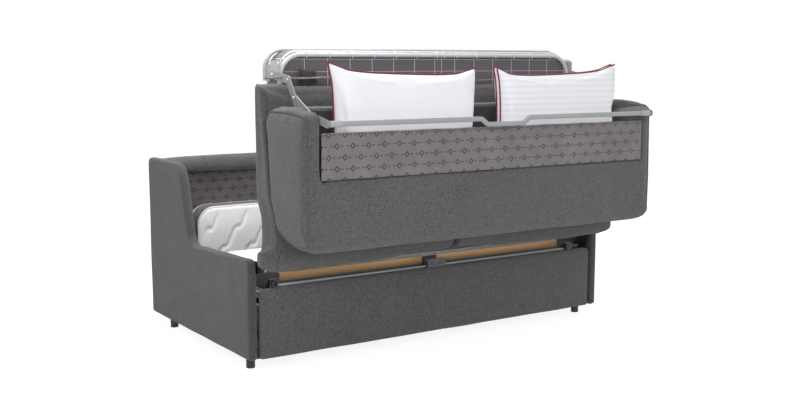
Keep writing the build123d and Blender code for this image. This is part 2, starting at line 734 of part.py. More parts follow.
# The two pillows stand in the pocket
pillow_half_thickness = 50
pillow_y = backrest_rear + rear_skin + pillow_gap + pillow_half_thickness
pillow_edge = 8
pillow_end_edge = 12
pillow_end_bulge = 56
pillow_height = 445
pillow_rise = 160
pillow_top = backrest_end + pillow_rise
pillow_low = pillow_top - pillow_height
left_pillow_setback = 46
right_pillow_setback = 101
left_pillow_inner = -70
right_pillow_inner = 15
pillow_spans = {"left": (left_pillow_setback - bar_half_length, left_pillow_inner),
                "right": (right_pillow_inner, bar_half_length - right_pillow_setback)}
for name, (x0, x1) in pillow_spans.items():
    middle = (x0 + x1) / 2
    height = (pillow_low + pillow_top) / 2
    with BuildPart() as pillow:
        with BuildSketch(side_plane(x0)):
            with BuildLine():
                rear, rear_edge = pillow_y - pillow_half_thickness, pillow_y - pillow_edge
                face, face_edge = pillow_y + pillow_half_thickness, pillow_y + pillow_edge
                Line((rear_edge, pillow_low), (face_edge, pillow_low))
                ThreePointArc((face_edge, pillow_low), (face, height), (face_edge, pillow_top))
                Line((face_edge, pillow_top), (rear_edge, pillow_top))
                ThreePointArc((rear_edge, pillow_top), (rear, height), (rear_edge, pillow_low))
            make_face()
        extrude(amount=x1 - x0)
        with BuildSketch(Plane.XY.offset(pillow_low - overrun)) as plan:
            with BuildLine():
                y0, y1 = from_face(pillow_y - pillow_end_edge), from_face(pillow_y + pillow_end_edge)
                Line((x0, y1), (x0, y0))
                ThreePointArc((x0, y0), (middle, from_face(pillow_y - pillow_end_bulge)), (x1, y0))
                Line((x1, y0), (x1, y1))
                ThreePointArc((x1, y1), (middle, from_face(pillow_y + pillow_end_bulge)), (x0, y1))
            make_face()
        extrude(plan.sketch, amount=pillow_top - pillow_low + 2 * overrun, mode=Mode.INTERSECT)
    save(pillow, f"pillow_{name}")

# The lift arms swing from the base and carry the middle section level
swing = radians(lift_rest_angle)
closed_swing = radians(lift_closed_angle)
lift_tip_y = lift_root_y + lift_length * cos(swing)
lift_root_z = middle_level - lift_length * sin(closed_swing)
lift_tip_z = lift_root_z + lift_length * sin(swing)
arm_plane_gap = 27
arm_plane = rail_inner - arm_plane_gap
arm_bar = 6
arm_half_width = 15
bush_margin = 2
lift_plate_thickness = 6
lift_plate_inner = rail_inner - lift_plate_thickness
lift_plate_half = 28
lift_plate_low = floor_gap + 5
boss_radius = 9
pin_overhang = 5
pin_end_inner = arm_plane - pin_overhang
tip_pin_overhang = 6
tip_pin_end = arm_plane + arm_bar + tip_pin_overhang
with BuildPart() as lift_plates:
    for side in (-1, 1):
        x0, x1 = sorted((side * lift_plate_inner, side * (rail_inner - gap)))
        with BuildSketch(side_plane(x0)) as face:
            outline([(lift_root_y - lift_plate_half, lift_plate_low, 0),
                     (lift_root_y + lift_plate_half, lift_plate_low, 0),
                     (lift_root_y + lift_plate_half, lift_root_z + lift_plate_half, lift_plate_half / 2),
                     (lift_root_y - lift_plate_half, lift_root_z + lift_plate_half, lift_plate_half / 2)])
        extrude(face.sketch, amount=x1 - x0)
        x0, x1 = sorted((side * pin_end_inner, side * lift_plate_inner))
        round_bar(x0, x1, lift_root_y, lift_root_z, pin_radius)
        x0, x1 = sorted((side * (arm_plane + arm_bar + bush_margin + slide_gap), side * lift_plate_inner))
        round_bar(x0, x1, lift_root_y, lift_root_z, boss_radius)
save(lift_plates, "lift_plates")
with BuildPart() as lift_arms:
    for side in (-1, 1):
        x0, x1 = sorted((side * arm_plane, side * (arm_plane + arm_bar)))
        with BuildSketch(side_plane(x0)) as face:
            link_outline([(lift_root_y, lift_root_z), (lift_tip_y, lift_tip_z)], arm_half_width)
            with Locations((lift_root_y, lift_root_z), (lift_tip_y, lift_tip_z)):
                Circle(bush_radius + pin_play, mode=Mode.SUBTRACT)
        extrude(face.sketch, amount=arm_bar)
save(lift_arms, "lift_arms")
for name, y, z in (("lift_root_bushes", lift_root_y, lift_root_z),
                   ("lift_tip_bushes", lift_tip_y, lift_tip_z)):
    with BuildPart() as bushes:
        for side in (-1, 1):
            x0, x1 = sorted((side * (arm_plane - bush_margin), side * (arm_plane + arm_bar + bush_margin)))
            round_bar(x0, x1, y, z, bush_radius)
            round_bar(x0, x1, y, z, pin_radius + pin_play, mode=Mode.SUBTRACT)
    save(bushes, name)

# The middle section, at its rest height
middle_y = middle_front + lift_length * (cos(swing) - cos(closed_swing))
middle_z = lift_tip_z
frame_front = middle_y + front_board + gap
middle_rear = middle_y + middle_length
with BuildPart() as middle_frame:
    y0 = from_face(frame_front + frame_radius)
    y1 = from_face(middle_rear - frame_radius)
    tube([(-frame_half_width, y0, middle_z), (frame_half_width, y0, middle_z),
          (frame_half_width, y1, middle_z), (-frame_half_width, y1, middle_z)],
         [small_corner, small_corner, small_corner, small_corner], frame_radius, close=True)
    for side in (-1, 1):
        x0, x1 = sorted((side * frame_half_width, side * tip_pin_end))
        round_bar(x0, x1, lift_tip_y, middle_z, pin_radius)
save(middle_frame, "middle_frame")
with BuildPart() as middle_net:
    length = middle_rear - frame_front - 2 * (frame_radius + net_inset)
    bed = Plane(origin=(0, from_face((middle_rear + frame_front) / 2), middle_z + net_lift))
    net(bed, 2 * net_half_width, length)
    with BuildSketch(bed) as inside:
        RectangleRounded(2 * net_half_width, length, small_corner - net_inset)
    extrude(inside.sketch, amount=wire, both=True, mode=Mode.INTERSECT)
save(middle_net, "middle_net")
with BuildPart() as middle_mattress:
    mattress(Plane(origin=(0, plinth_face, middle_z + mattress_lift)),
             [(-mattress_half_width, frame_front, mattress_short_corner),
              (mattress_half_width, frame_front, mattress_short_corner),
              (mattress_half_width, middle_rear, mattress_short_corner),
              (-mattress_half_width, middle_rear, mattress_short_corner)])
save(middle_mattress, "middle_mattress")
board_foot = 8
board_drop = 8
left_board_overhang = 1
right_board_setback = 19
left_board_inner = -52
right_board_inner = 24
front_board_spans = {"left": (left_board_overhang - frame_half_width, left_board_inner),
                     "right": (right_board_inner, frame_half_width - right_board_setback)}
for name, (x0, x1) in front_board_spans.items():
    with BuildPart() as front_panel:
        block(x0, x1, middle_y, middle_y + front_board, middle_z + board_foot,
              middle_z + mattress_lift + mattress_thickness - board_drop)
    save(front_panel, f"front_board_{name}")

# The head section hangs upright inside the back
with BuildPart() as head_frame:
    y = from_face(head_plane)
    z_low = head_low + frame_radius
    z_high = head_top - frame_radius
    tube([(-frame_half_width, y, z_low), (frame_half_width, y, z_low),
          (frame_half_width, y, z_high), (-frame_half_width, y, z_high)],
         [small_corner, small_corner, frame_corner, frame_corner], frame_radius, close=True)
save(head_frame, "head_frame")
with BuildPart() as head_net:
    upright_net(head_plane - net_lift, head_low + frame_radius + net_inset,
                head_top - frame_radius - net_inset)
save(head_net, "head_net")
head_mattress_setback = 5
head_mattress_low = head_low + head_mattress_setback
head_mattress_top = head_top - 2 * head_mattress_setback
with BuildPart() as head_mattress:
    mattress(Plane(origin=(0, from_face(head_plane - mattress_lift), 0), x_dir=(1, 0, 0), z_dir=(0, -1, 0)),
             [(-mattress_half_width, head_mattress_low, mattress_short_corner),
              (mattress_half_width, head_mattress_low, mattress_short_corner),
              (mattress_half_width, head_mattress_top, mattress_corner),
              (-mattress_half_width, head_mattress_top, mattress_corner)])
save(head_mattress, "head_mattress")
head_plate_drop = 68
head_plate_low = head_hinge_z - head_plate_drop
hinge_lug = 16
hinge_lug_round = 14
head_bracket_thickness = 6
head_bracket_gap = 82
head_bracket_inner = arm_inner - head_bracket_gap
head_pin_overhang = 4
head_pin_end = head_bracket_inner + head_bracket_thickness + head_pin_overhang
with BuildPart() as head_hinge_plates:
    for side in (-1, 1):
        x0, x1 = sorted((side * hoop_plate_inner, side * (hoop_plate_inner + plate)))
        with BuildSketch(side_plane(x0)) as face:
            link_outline([(head_hinge_y, head_hinge_z), (head_plane, head_plate_low)], hinge_lug)
        extrude(face.sketch, amount=plate)
        x0, x1 = sorted((side * hoop_plate_inner, side * head_pin_end))
        round_bar(x0, x1, head_hinge_y, head_hinge_z, pin_radius)
save(head_hinge_plates, "head_hinge_plates")
with BuildPart() as head_brackets:
    for side in (-1, 1):
        x0, x1 = sorted((side * head_bracket_inner, side * (head_bracket_inner + head_bracket_thickness)))
        with BuildSketch(side_plane(x0)) as face:
            outline([(head_hinge_y - hinge_lug, head_hinge_z + hinge_lug, hinge_lug_round),
                     (head_hinge_y - hinge_lug, head_hinge_z - hinge_lug, hinge_lug_round),
                     (back_inner_face - gap, head_plate_low, 0),
                     (back_inner_face - gap, head_hinge_z + hinge_lug, 0)])
            with Locations((head_hinge_y, head_hinge_z)):
                Circle(pin_radius + pin_play, mode=Mode.SUBTRACT)
        extrude(face.sketch, amount=head_bracket_thickness)
save(head_brackets, "head_brackets")

print("plinth face", round(plinth_face, 2))
for name, y, z in (("seat pivot", pivot_y, pivot_z), ("backrest hinge", backrest_hinge_y, backrest_hinge_z),
                   ("head hinge", head_hinge_y, head_hinge_z), ("lift root", lift_root_y, lift_root_z),
                   ("lift tip", lift_tip_y, lift_tip_z)):
    print(name, round(from_face(y), 3), round(z, 3))
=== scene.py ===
# %% [markdown]
# # A sofa bed, half open
# This lesson dresses a sofa bed that stands half open. Its seat and backrest stand on edge over the
# plinth, a section of the bed stands behind them, and another hangs inside the back.
# The exact frame is already made: solids in metres, sorted into the bodies that move. We load them,
# keep the steel, and build the upholstery, the bedding and the wires around them.

# %% Load the frame
import json
import math

import bmesh
import bpy
import numpy as np
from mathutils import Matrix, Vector
from mathutils.kdtree import KDTree

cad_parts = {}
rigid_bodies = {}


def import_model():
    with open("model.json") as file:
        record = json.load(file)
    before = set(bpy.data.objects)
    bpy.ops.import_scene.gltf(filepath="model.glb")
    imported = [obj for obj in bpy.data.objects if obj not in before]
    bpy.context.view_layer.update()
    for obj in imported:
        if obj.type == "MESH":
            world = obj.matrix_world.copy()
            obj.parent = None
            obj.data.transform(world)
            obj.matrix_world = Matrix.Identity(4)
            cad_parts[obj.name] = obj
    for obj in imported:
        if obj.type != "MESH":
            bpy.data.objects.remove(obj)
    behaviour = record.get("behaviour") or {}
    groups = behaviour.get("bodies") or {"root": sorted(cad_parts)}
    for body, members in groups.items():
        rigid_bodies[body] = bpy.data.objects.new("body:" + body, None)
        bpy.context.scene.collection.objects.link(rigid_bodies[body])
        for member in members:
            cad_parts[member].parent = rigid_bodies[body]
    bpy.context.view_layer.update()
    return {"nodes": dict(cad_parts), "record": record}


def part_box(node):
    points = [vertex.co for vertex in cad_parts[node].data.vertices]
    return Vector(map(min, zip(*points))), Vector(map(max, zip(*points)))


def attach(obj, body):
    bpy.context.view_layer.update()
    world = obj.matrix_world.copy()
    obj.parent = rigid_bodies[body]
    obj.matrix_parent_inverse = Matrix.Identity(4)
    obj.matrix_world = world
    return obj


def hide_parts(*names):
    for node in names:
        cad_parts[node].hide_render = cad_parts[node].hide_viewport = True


for thing in list(bpy.data.objects):
    bpy.data.objects.remove(thing)
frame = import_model()
solids = frame["nodes"]
plinth_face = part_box("front_plinth")[0].y

# %% [markdown]
# ## Where things are
# The frame's origin is on the floor in the middle, X runs along the sofa, Y to its back and Z up.
# Many measures are easier to read from the face of the plinth, so one small function turns such a
# measure, in millimetres, into a place in Y.

# %% Places and small tools
MM = 0.001


def from_face(y):
    """A place in Y, in metres, from millimetres behind the face of the plinth."""
    return plinth_face + y * MM


def bake(piece):
    """Turns what the modifiers make of a piece into its own mesh."""
    made = piece.evaluated_get(bpy.context.evaluated_depsgraph_get())
    mesh = bpy.data.meshes.new_from_object(made)
    piece.modifiers.clear()
    piece.data = mesh
    return piece


def points_of(piece):
    """The vertices of a piece as rows of numbers."""
    rows = np.zeros(len(piece.data.vertices) * 3)
    piece.data.vertices.foreach_get("co", rows)
    return rows.reshape(-1, 3)


def normals_of(piece):
    """The directions that the vertices of a piece face."""
    return np.array([corner.vector for corner in piece.data.vertex_normals])


def set_points(piece, rows):
    """Puts the vertices of a piece back after they were moved as rows of numbers."""
    piece.data.vertices.foreach_set("co", np.asarray(rows, np.float32).ravel())
    piece.data.update()


def put(name, data):
    """Puts a mesh, a lamp or other data in the scene as an object."""
    made = bpy.data.objects.new(name, data)
    bpy.context.scene.collection.objects.link(made)
    return made


def new_piece(name, mesh):
    """Puts a mesh in the scene as a smooth piece."""
    for face in mesh.polygons:
        face.use_smooth = True
    return put(name, mesh)


# %% [markdown]
# ## Finishes
# A finish is a tree of nodes. All of ours start from the Principled shader and read Object
# coordinates, so a pattern stays on its piece when the bed folds. Nothing here needs an unwrapped
# mesh. These helpers add one node at a time and plug its inputs in.

# %% Helpers for finishes
def start_finish(name, colour, roughness, **sockets):
    """A new material with its Principled shader set, and its tree."""
    material = bpy.data.materials.new(name)
    material.use_nodes = True
    material.diffuse_color = (*colour, 1)
    shader = material.node_tree.nodes["Principled BSDF"]
    shader.inputs["Base Color"].default_value = (*colour, 1)
    shader.inputs["Roughness"].default_value = roughness
    for socket, value in sockets.items():
        shader.inputs[socket.replace("_", " ")].default_value = value
    return material, material.node_tree, shader


def add_node(tree, kind, inputs=(), **settings):
    """Adds a node. Inputs are pairs of socket and either a number or the output that feeds it."""
    made = tree.nodes.new(f"ShaderNode{kind}")
    for setting, value in settings.items():
        setattr(made, setting, value)
    for socket, value in inputs:
        if isinstance(value, bpy.types.NodeSocket):
            tree.links.new(value, made.inputs[socket])
        else:
            made.inputs[socket].default_value = value
    return made


def reckon(tree, operation, a, b=0.0):
    """One sum on numbers of the pattern."""
    return add_node(tree, "Math", [(0, a), (1, b)], operation=operation).outputs[0]


def total(tree, first, *others):
    """The sum of several numbers of the pattern."""
    for other in others:
        first = reckon(tree, "ADD", first, other)
    return first


def place(tree, scale=(1, 1, 1)):
    """The Object coordinates of a piece, stretched."""
    here = add_node(tree, "TexCoord").outputs["Object"]
    return add_node(tree, "Mapping", [("Vector", here), ("Scale", scale)]).outputs[0]


def grain(tree, scale, stretch=(1, 1, 1), detail=2.0, roughness=0.55):
    """Noise with a number of bumps per metre."""
    made = add_node(tree, "TexNoise", [("Vector", place(tree, stretch)), ("Scale", scale),
                                       ("Detail", detail), ("Roughness", roughness)])
    return made.outputs["Fac"]


def between(tree, share, low, high, start=0.0, end=1.0):
    """A number that runs from low to high as share runs from start to end."""
    return add_node(tree, "MapRange", [("Value", share), ("From Min", start), ("From Max", end),
                                       ("To Min", low), ("To Max", high)]).outputs[0]


def tint(tree, share, dark, light):
    """A colour between two colours. The first may also be an output that carries a colour."""
    start = dark if isinstance(dark, bpy.types.NodeSocket) else (*dark, 1)
    return add_node(tree, "Mix", [("Factor", share), (6, start), (7, (*light, 1))],
                    data_type="RGBA").outputs[2]


def raise_bumps(tree, shader, height, distance, strength=1.0):
    """Feeds a height in metres into the shader as bumps."""
    bump = add_node(tree, "Bump", [("Height", height), ("Distance", distance), ("Strength", strength)])
    tree.links.new(bump.outputs["Normal"], shader.inputs["Normal"])


# %% [markdown]
# ### The grey cloth
# The cover is a heather cloth: each yarn is spun from lighter and darker fibres, so it looks speckled
# from near and an even grey from far. Three noises stretched along the three directions give the
# slubs of the yarns whichever way a face looks. A fine noise gives the speckle, a coarser one gathers
# it in clumps, and a slow one makes some places a little paler. The arms look darker than the rest,
# so their mix is darker: a painted shade on the same cloth.

# %% The grey cloth
def woven_height(tree, threads):
    """The height of a plain weave with a number of threads per metre, seen from any side."""
    here = place(tree, (threads, threads, threads))
    x, y, z = add_node(tree, "SeparateXYZ", [(0, here)]).outputs[:3]
    waves = [reckon(tree, "SINE", reckon(tree, "MULTIPLY", axis, 2 * math.pi)) for axis in (x, y, z)]
    pairs = ((0, 1), (1, 2), (2, 0))
    return total(tree, *[reckon(tree, "MULTIPLY", waves[a], waves[b]) for a, b in pairs])


def heather_cloth(name, dark, light):
    """A speckled woven cover."""
    middle = [(a + b) / 2 for a, b in zip(dark, light)]
    cloth, tree, shader = start_finish(name, middle, 0.92, Sheen_Weight=0.25, Sheen_Roughness=0.5,
                                       Specular_IOR_Level=0.25)
    speckle = grain(tree, 420, detail=3, roughness=0.7)
    clumps = grain(tree, 190, detail=2, roughness=0.8)
    wear = grain(tree, 3.0, detail=2)
    ways = ((1, 9, 9), (9, 1, 9), (9, 9, 1))
    slubs = total(tree, *[grain(tree, 55, stretch, detail=2) for stretch in ways])
    share = total(tree, between(tree, speckle, -0.1, 0.75, 0.25, 0.75),
                  between(tree, slubs, -0.25, 0.3, 1.1, 1.9), between(tree, wear, -0.03, 0.04, 0.3, 0.7),
                  between(tree, clumps, -0.2, 0.2, 0.3, 0.7))
    tree.links.new(tint(tree, share, dark, light), shader.inputs["Base Color"])
    raise_bumps(tree, shader, total(tree, woven_height(tree, 420), speckle), 0.0006, 0.6)
    return cloth


grey_cloth = heather_cloth("grey_cloth", (0.04, 0.04, 0.04), (0.19, 0.189, 0.187))
grey_seam = heather_cloth("grey_seam", (0.022, 0.022, 0.022), (0.062, 0.061, 0.06))
# A darker copy of the grey cloth for the arms: painted shade.
arm_cloth = heather_cloth("arm_cloth", (0.027, 0.027, 0.027), (0.128, 0.127, 0.125))
print("cloths:", grey_cloth.name, grey_seam.name, arm_cloth.name)

# %% [markdown]
# ### The printed lining
# The inside of the back and of the pillow pocket is a thin brown-grey lining with a small dark print.
# The print is worked out from sums on the coordinates: rows of cells, each second row moved by half
# a cell, with a lozenge in each cell and a short dash on each side of it. A lozenge is where the
# distances across and up from the cell's middle add up to nearly one length, and a dash is where the
# height is nearly zero.

# %% The printed lining
PRINT = {"cell": 0.066, "row": 0.04, "size": 0.0095, "line": 0.0026,
         "dash_start": 0.015, "dash_end": 0.027}


def print_of_lozenges(tree, cell, row, size, line, dash_start, dash_end):
    """1 where the lining is printed and 0 where it is bare. Lengths are in metres."""
    here = add_node(tree, "TexCoord").outputs["Object"]
    x, y, z = add_node(tree, "SeparateXYZ", [(0, here)]).outputs[:3]
    across = reckon(tree, "DIVIDE", x, cell)
    up = reckon(tree, "DIVIDE", total(tree, y, z), row)
    moved = total(tree, across, reckon(tree, "MULTIPLY", reckon(tree, "FLOOR", up), 0.5))
    a = reckon(tree, "MULTIPLY", reckon(tree, "SUBTRACT", reckon(tree, "FRACT", moved), 0.5), cell)
    b = reckon(tree, "MULTIPLY", reckon(tree, "SUBTRACT", reckon(tree, "FRACT", up), 0.5), row)
    wide, high = reckon(tree, "ABSOLUTE", a), reckon(tree, "ABSOLUTE", b)
    from_edge = reckon(tree, "ABSOLUTE", reckon(tree, "SUBTRACT", total(tree, wide, high), size))
    on_edge = reckon(tree, "LESS_THAN", from_edge, line)
    on_line = reckon(tree, "LESS_THAN", high, line * 0.6)
    in_dash = reckon(tree, "MULTIPLY", reckon(tree, "GREATER_THAN", wide, dash_start),
                     reckon(tree, "LESS_THAN", wide, dash_end))
    return reckon(tree, "MAXIMUM", on_edge, reckon(tree, "MULTIPLY", on_line, in_dash))


def printed_lining(name, ground, ink):
    """A thin matt lining with its print."""
    lining, tree, shader = start_finish(name, ground, 0.85, Sheen_Weight=0.2, Specular_IOR_Level=0.3)
    fuzz = grain(tree, 500, detail=3, roughness=0.7)
    crumple_and_painted_shade = grain(tree, 9, detail=3)
    # The crumple noise also darkens the ground in the low places of its relief: painted shade in the
    # creases.
    share = total(tree, between(tree, fuzz, 0.1, 0.7, 0.3, 0.7),
                  between(tree, crumple_and_painted_shade, -0.2, 0.3, 0.3, 0.7))
    bare = tint(tree, share, [0.72 * c for c in ground], [1.2 * c for c in ground])
    worn = reckon(tree, "MULTIPLY", print_of_lozenges(tree, **PRINT),
                  between(tree, fuzz, 0.7, 1.0, 0.3, 0.6))
    tree.links.new(tint(tree, worn, bare, ink), shader.inputs["Base Color"])
    height = total(tree, woven_height(tree, 600), reckon(tree, "MULTIPLY", crumple_and_painted_shade, 4))
    raise_bumps(tree, shader, height, 0.0006, 0.5)
    return lining


lining = printed_lining("printed_lining", (0.2, 0.184, 0.182), (0.018, 0.017, 0.018))
shaded_lining = printed_lining("shaded_lining", (0.145, 0.133, 0.131), (0.014, 0.013, 0.014))
print("linings:", lining.name, shaded_lining.name)

# %% [markdown]
# ### Bedding
# The mattress has a white knitted ticking on its faces and a mauve-grey band round its sides, and
# the pillows are white cotton, one of them with satin stripes. White cloth is never pure white: its
# base colour stays under 0.9, so that folds still show under the lamps.

# %% Bedding finishes
def soft_white(name, colour, threads, stripes=0.0):
    """A pale cloth with a fine thread, and satin stripes along its width where stripes is not 0."""
    cotton, tree, shader = start_finish(name, colour, 0.75, Sheen_Weight=0.15, Specular_IOR_Level=0.3)
    share = between(tree, grain(tree, 14, detail=3), 0.75, 1.0, 0.3, 0.7)
    if stripes:
        here = add_node(tree, "TexCoord").outputs["Object"]
        z = add_node(tree, "SeparateXYZ", [(0, here)]).outputs[2]
        part = reckon(tree, "FRACT", reckon(tree, "DIVIDE", z, stripes))
        band = reckon(tree, "GREATER_THAN", part, 0.5)
        share = total(tree, reckon(tree, "MULTIPLY", band, 0.55), 0.5)
        tree.links.new(between(tree, band, 0.8, 0.35), shader.inputs["Roughness"])
    tree.links.new(tint(tree, share, [0.86 * c for c in colour], colour), shader.inputs["Base Color"])
    raise_bumps(tree, shader, woven_height(tree, threads), 0.0004, 0.4)
    return cotton


white_ticking = soft_white("white_ticking", (0.88, 0.88, 0.88), 380)
mauve_band = soft_white("mauve_band", (0.135, 0.12, 0.135), 300)
white_cotton = soft_white("white_cotton", (0.83, 0.84, 0.88), 700)
striped_cotton = soft_white("striped_cotton", (0.83, 0.84, 0.88), 700, stripes=0.023)
white_piping = soft_white("white_piping", (0.7, 0.7, 0.69), 900)
wine_piping = soft_white("wine_piping", (0.19, 0.012, 0.035), 900)
print("bedding:", white_ticking.name, mauve_band.name, white_cotton.name, striped_cotton.name)

# %% [markdown]
# ### Metal, wood and plastic
# The folding frame is powder coated: a thick even paint with a faint orange-peel surface and a few
# rubbed spots. The brackets in the base are dark, and the bolts and pins are bare and bright.
# The two boards in front of the mattress are varnished plywood, with long streaks along their length.

# %% Metal, wood and plastic finishes
def coated_steel(name, colour, roughness, worn):
    """Painted steel with orange peel, and rubbed to another colour in spots."""
    paint, tree, shader = start_finish(name, colour, roughness, Coat_Weight=0.15, Coat_Roughness=0.3,
                                       Specular_IOR_Level=0.45)
    spots = grain(tree, 38, detail=5, roughness=0.7)
    rubbed = between(tree, spots, 0.0, 0.7, 0.66, 0.78)
    cloud = between(tree, grain(tree, 6, detail=3), 0.0, 1.0, 0.3, 0.7)
    even = tint(tree, cloud, [0.9 * c for c in colour], colour)
    tree.links.new(tint(tree, rubbed, even, worn), shader.inputs["Base Color"])
    rough = between(tree, spots, roughness - 0.08, roughness + 0.15, 0.3, 0.8)
    tree.links.new(rough, shader.inputs["Roughness"])
    raise_bumps(tree, shader, grain(tree, 700, detail=1), 0.0003, 0.25)
    return paint


def bright_steel(name):
    """Zinc-plated steel with fine turning marks."""
    zinc, tree, shader = start_finish(name, (0.6, 0.6, 0.62), 0.32, Metallic=1.0)
    marks = grain(tree, 900, (0.1, 1, 1), detail=2)
    tree.links.new(between(tree, marks, 0.24, 0.45, 0.3, 0.7), shader.inputs["Roughness"])
    tree.links.new(tint(tree, marks, (0.5, 0.5, 0.53), (0.68, 0.68, 0.69)), shader.inputs["Base Color"])
    return zinc


def plywood(name, pale, streak, roughness):
    """Wood with its grain along X."""
    wood, tree, shader = start_finish(name, pale, roughness, Coat_Weight=0.2, Coat_Roughness=0.25)
    figure = grain(tree, 22, (0.06, 1, 1), detail=6, roughness=0.6)
    fine = grain(tree, 300, (0.03, 1, 1), detail=3)
    share = total(tree, between(tree, figure, 0.0, 0.75, 0.3, 0.75),
                  between(tree, fine, 0.0, 0.3, 0.3, 0.7))
    tree.links.new(tint(tree, share, pale, streak), shader.inputs["Base Color"])
    raise_bumps(tree, shader, fine, 0.0004, 0.3)
    return wood


def black_plastic(name):
    """Moulded plastic with a fine leather-like texture."""
    plastic, tree, shader = start_finish(name, (0.012, 0.012, 0.013), 0.45)
    cells = add_node(tree, "TexVoronoi", [("Vector", place(tree)), ("Scale", 900.0)])
    raise_bumps(tree, shader, cells.outputs["Distance"], 0.0003, 0.4)
    rough = between(tree, grain(tree, 60, detail=3), 0.38, 0.55, 0.3, 0.7)
    tree.links.new(rough, shader.inputs["Roughness"])
    return plastic


pale_coat = coated_steel("pale_coat", (0.42, 0.43, 0.44), 0.38, (0.3, 0.3, 0.31))
bright_coat = coated_steel("bright_coat", (0.6, 0.61, 0.62), 0.34, (0.5, 0.5, 0.5))
black_coat = coated_steel("black_coat", (0.012, 0.013, 0.018), 0.35, (0.06, 0.06, 0.07))
zinc = bright_steel("zinc")
bar_coat = coated_steel("bar_coat", (0.31, 0.32, 0.33), 0.36, (0.45, 0.45, 0.46))
slate_coat = coated_steel("slate_coat", (0.07, 0.075, 0.09), 0.4, (0.15, 0.15, 0.16))
plate_coat = coated_steel("plate_coat", (0.27, 0.275, 0.285), 0.38, (0.4, 0.4, 0.41))
board_ply = plywood("board_ply", (0.78, 0.47, 0.215), (0.58, 0.32, 0.13), 0.4)
frame_ply = plywood("frame_ply", (0.045, 0.035, 0.028), (0.03, 0.023, 0.018), 0.7)
foot_plastic = black_plastic("foot_plastic")
grey_plastic, grey_tree, grey_shader = start_finish("grey_plastic", (0.34, 0.35, 0.36), 0.4)
raise_bumps(grey_tree, grey_shader, grain(grey_tree, 800, detail=1), 0.0002, 0.3)
print("hard finishes:", pale_coat.name, black_coat.name, zinc.name, board_ply.name, frame_ply.name)

# %% [markdown]
# ## The hard parts that stay as they are
# Tubes, plates, pins and boards have their true shape already, so each one only gets its finish.
# The first table below goes from the record's finish to ours. The second names the parts that are
# paler or darker in the photograph than the rest of their kind.

# %% Dress the hard parts
hard_finish = {"painted_steel": pale_coat, "black_steel": black_coat, "bright_steel": zinc,
               "board_wood": board_ply, "base_wood": frame_ply, "black_plastic": foot_plastic}
slot_of = {row["node"]: row["material_slot"] for row in frame["record"]["subparts"]}


def give_finish(piece, *finishes):
    """Replaces the materials of a piece."""
    piece.data.materials.clear()
    for finish in finishes:
        piece.data.materials.append(finish)
    return piece


for name, solid in solids.items():
    if slot_of[name] in hard_finish:
        give_finish(solid, hard_finish[slot_of[name]])
own_finish = {"bar_sleeves": grey_plastic, "foot_frame": bright_coat, "pillow_bar": bar_coat,
              "bar_blades": plate_coat, "base_bracket_centre": slate_coat,
              "l_bracket_left": plate_coat, "l_bracket_right": plate_coat}
for name, finish in own_finish.items():
    give_finish(solids[name], finish)
print("hard parts:", sum(slot_of[name] in hard_finish for name in solids))

# %% [markdown]
# ## Upholstery: from a plain solid to a padded cover
# A voxel remesh gives a solid an even skin of small squares. The Cloth simulation then swells that
# skin a little, as wadding does under a cover, and a limit keeps every point close to where it
# started, so a cushion stays clear of its neighbours. The skin is drawn in by a millimetre or two
# first, to leave room for the swelling.

# %% The upholstery tools
def mesh_from(heap, name):
    """Turns a finished heap of points and faces into a mesh."""
    mesh = bpy.data.meshes.new(name)
    heap.to_mesh(mesh)
    heap.free()
    return mesh


def ramp(values, start, width):
    """A share that climbs from 0 at start to 1 over a width. A negative width leads to lower values."""
    return np.clip((values - start) / width, 0, 1)


def weigh(piece, name, weights):
    """A group of the points whose weight isn't nearly 0."""
    group = piece.vertex_groups.new(name=name)
    for index in np.nonzero(weights > 0.02)[0]:
        group.add([int(index)], float(weights[index]), "REPLACE")
    return name


def skin_of(nodes, name, voxel, times):
    """One even skin over solids that touch, with its steps rounded by averaging a number of times."""
    heap = bmesh.new()
    for node in [nodes] if isinstance(nodes, str) else nodes:
        heap.from_mesh(solids[node].data)
    piece = new_piece(name, mesh_from(heap, name))
    remesh = piece.modifiers.new("skin", "REMESH")
    remesh.mode = "VOXEL"
    remesh.voxel_size = voxel
    bake(piece)
    for face in piece.data.polygons:
        face.use_smooth = True
    smooth = piece.modifiers.new("even", "SMOOTH")
    smooth.factor = 0.5
    smooth.iterations = times
    return bake(piece)


def swell(piece, pressure, limit, held=None, frames=20):
    """Swells a skin with the Cloth simulation. Held is a share from 0, free, to 1, sewn down."""
    start = points_of(piece)
    cloth = piece.modifiers.new("cloth", "CLOTH")
    cloth.settings.use_pressure = True
    cloth.settings.uniform_pressure_force = pressure
    cloth.settings.effector_weights.gravity = 0
    cloth.settings.quality = 5
    cloth.settings.tension_stiffness = 25
    cloth.settings.compression_stiffness = 25
    cloth.settings.bending_stiffness = 1.5
    cloth.collision_settings.use_collision = False
    if held is not None:
        cloth.settings.vertex_group_mass = weigh(piece, "sewn", held)
    scene = bpy.context.scene
    for step in range(1, frames + 1):
        scene.frame_set(step)
    made = piece.evaluated_get(bpy.context.evaluated_depsgraph_get())
    end = np.zeros(len(start) * 3)
    made.data.vertices.foreach_get("co", end)
    piece.modifiers.clear()
    scene.frame_set(1)
    move = end.reshape(-1, 3) - start
    far = np.linalg.norm(move, axis=1)
    move *= np.minimum(1, limit / np.maximum(far, 1e-9))[:, None]
    set_points(piece, start + move)
    return piece


def draw_in(piece, distance):
    """Moves every point inwards along the way it faces."""
    set_points(piece, points_of(piece) - normals_of(piece) * distance)
    return piece


def cover(piece, finish, body, slot, *nodes, fill=None):
    """Gives a finish, and says what the piece rides on and which solids it stands for. Fill, how full it
    is, is not used.
    """
    give_finish(piece, *(finish if isinstance(finish, tuple) else (finish,)))
    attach(piece, body)
    if nodes:
        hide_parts(*nodes)
    return piece


# %% [markdown]
# A seam is a welt: a thin roll of cloth along the line where two panels meet. It is a curve with a
# round bevel. Thread pulls the padding down on both sides of a seam, so the cover is sunk along the
# line first, and the line is then laid on the cover as it has become.

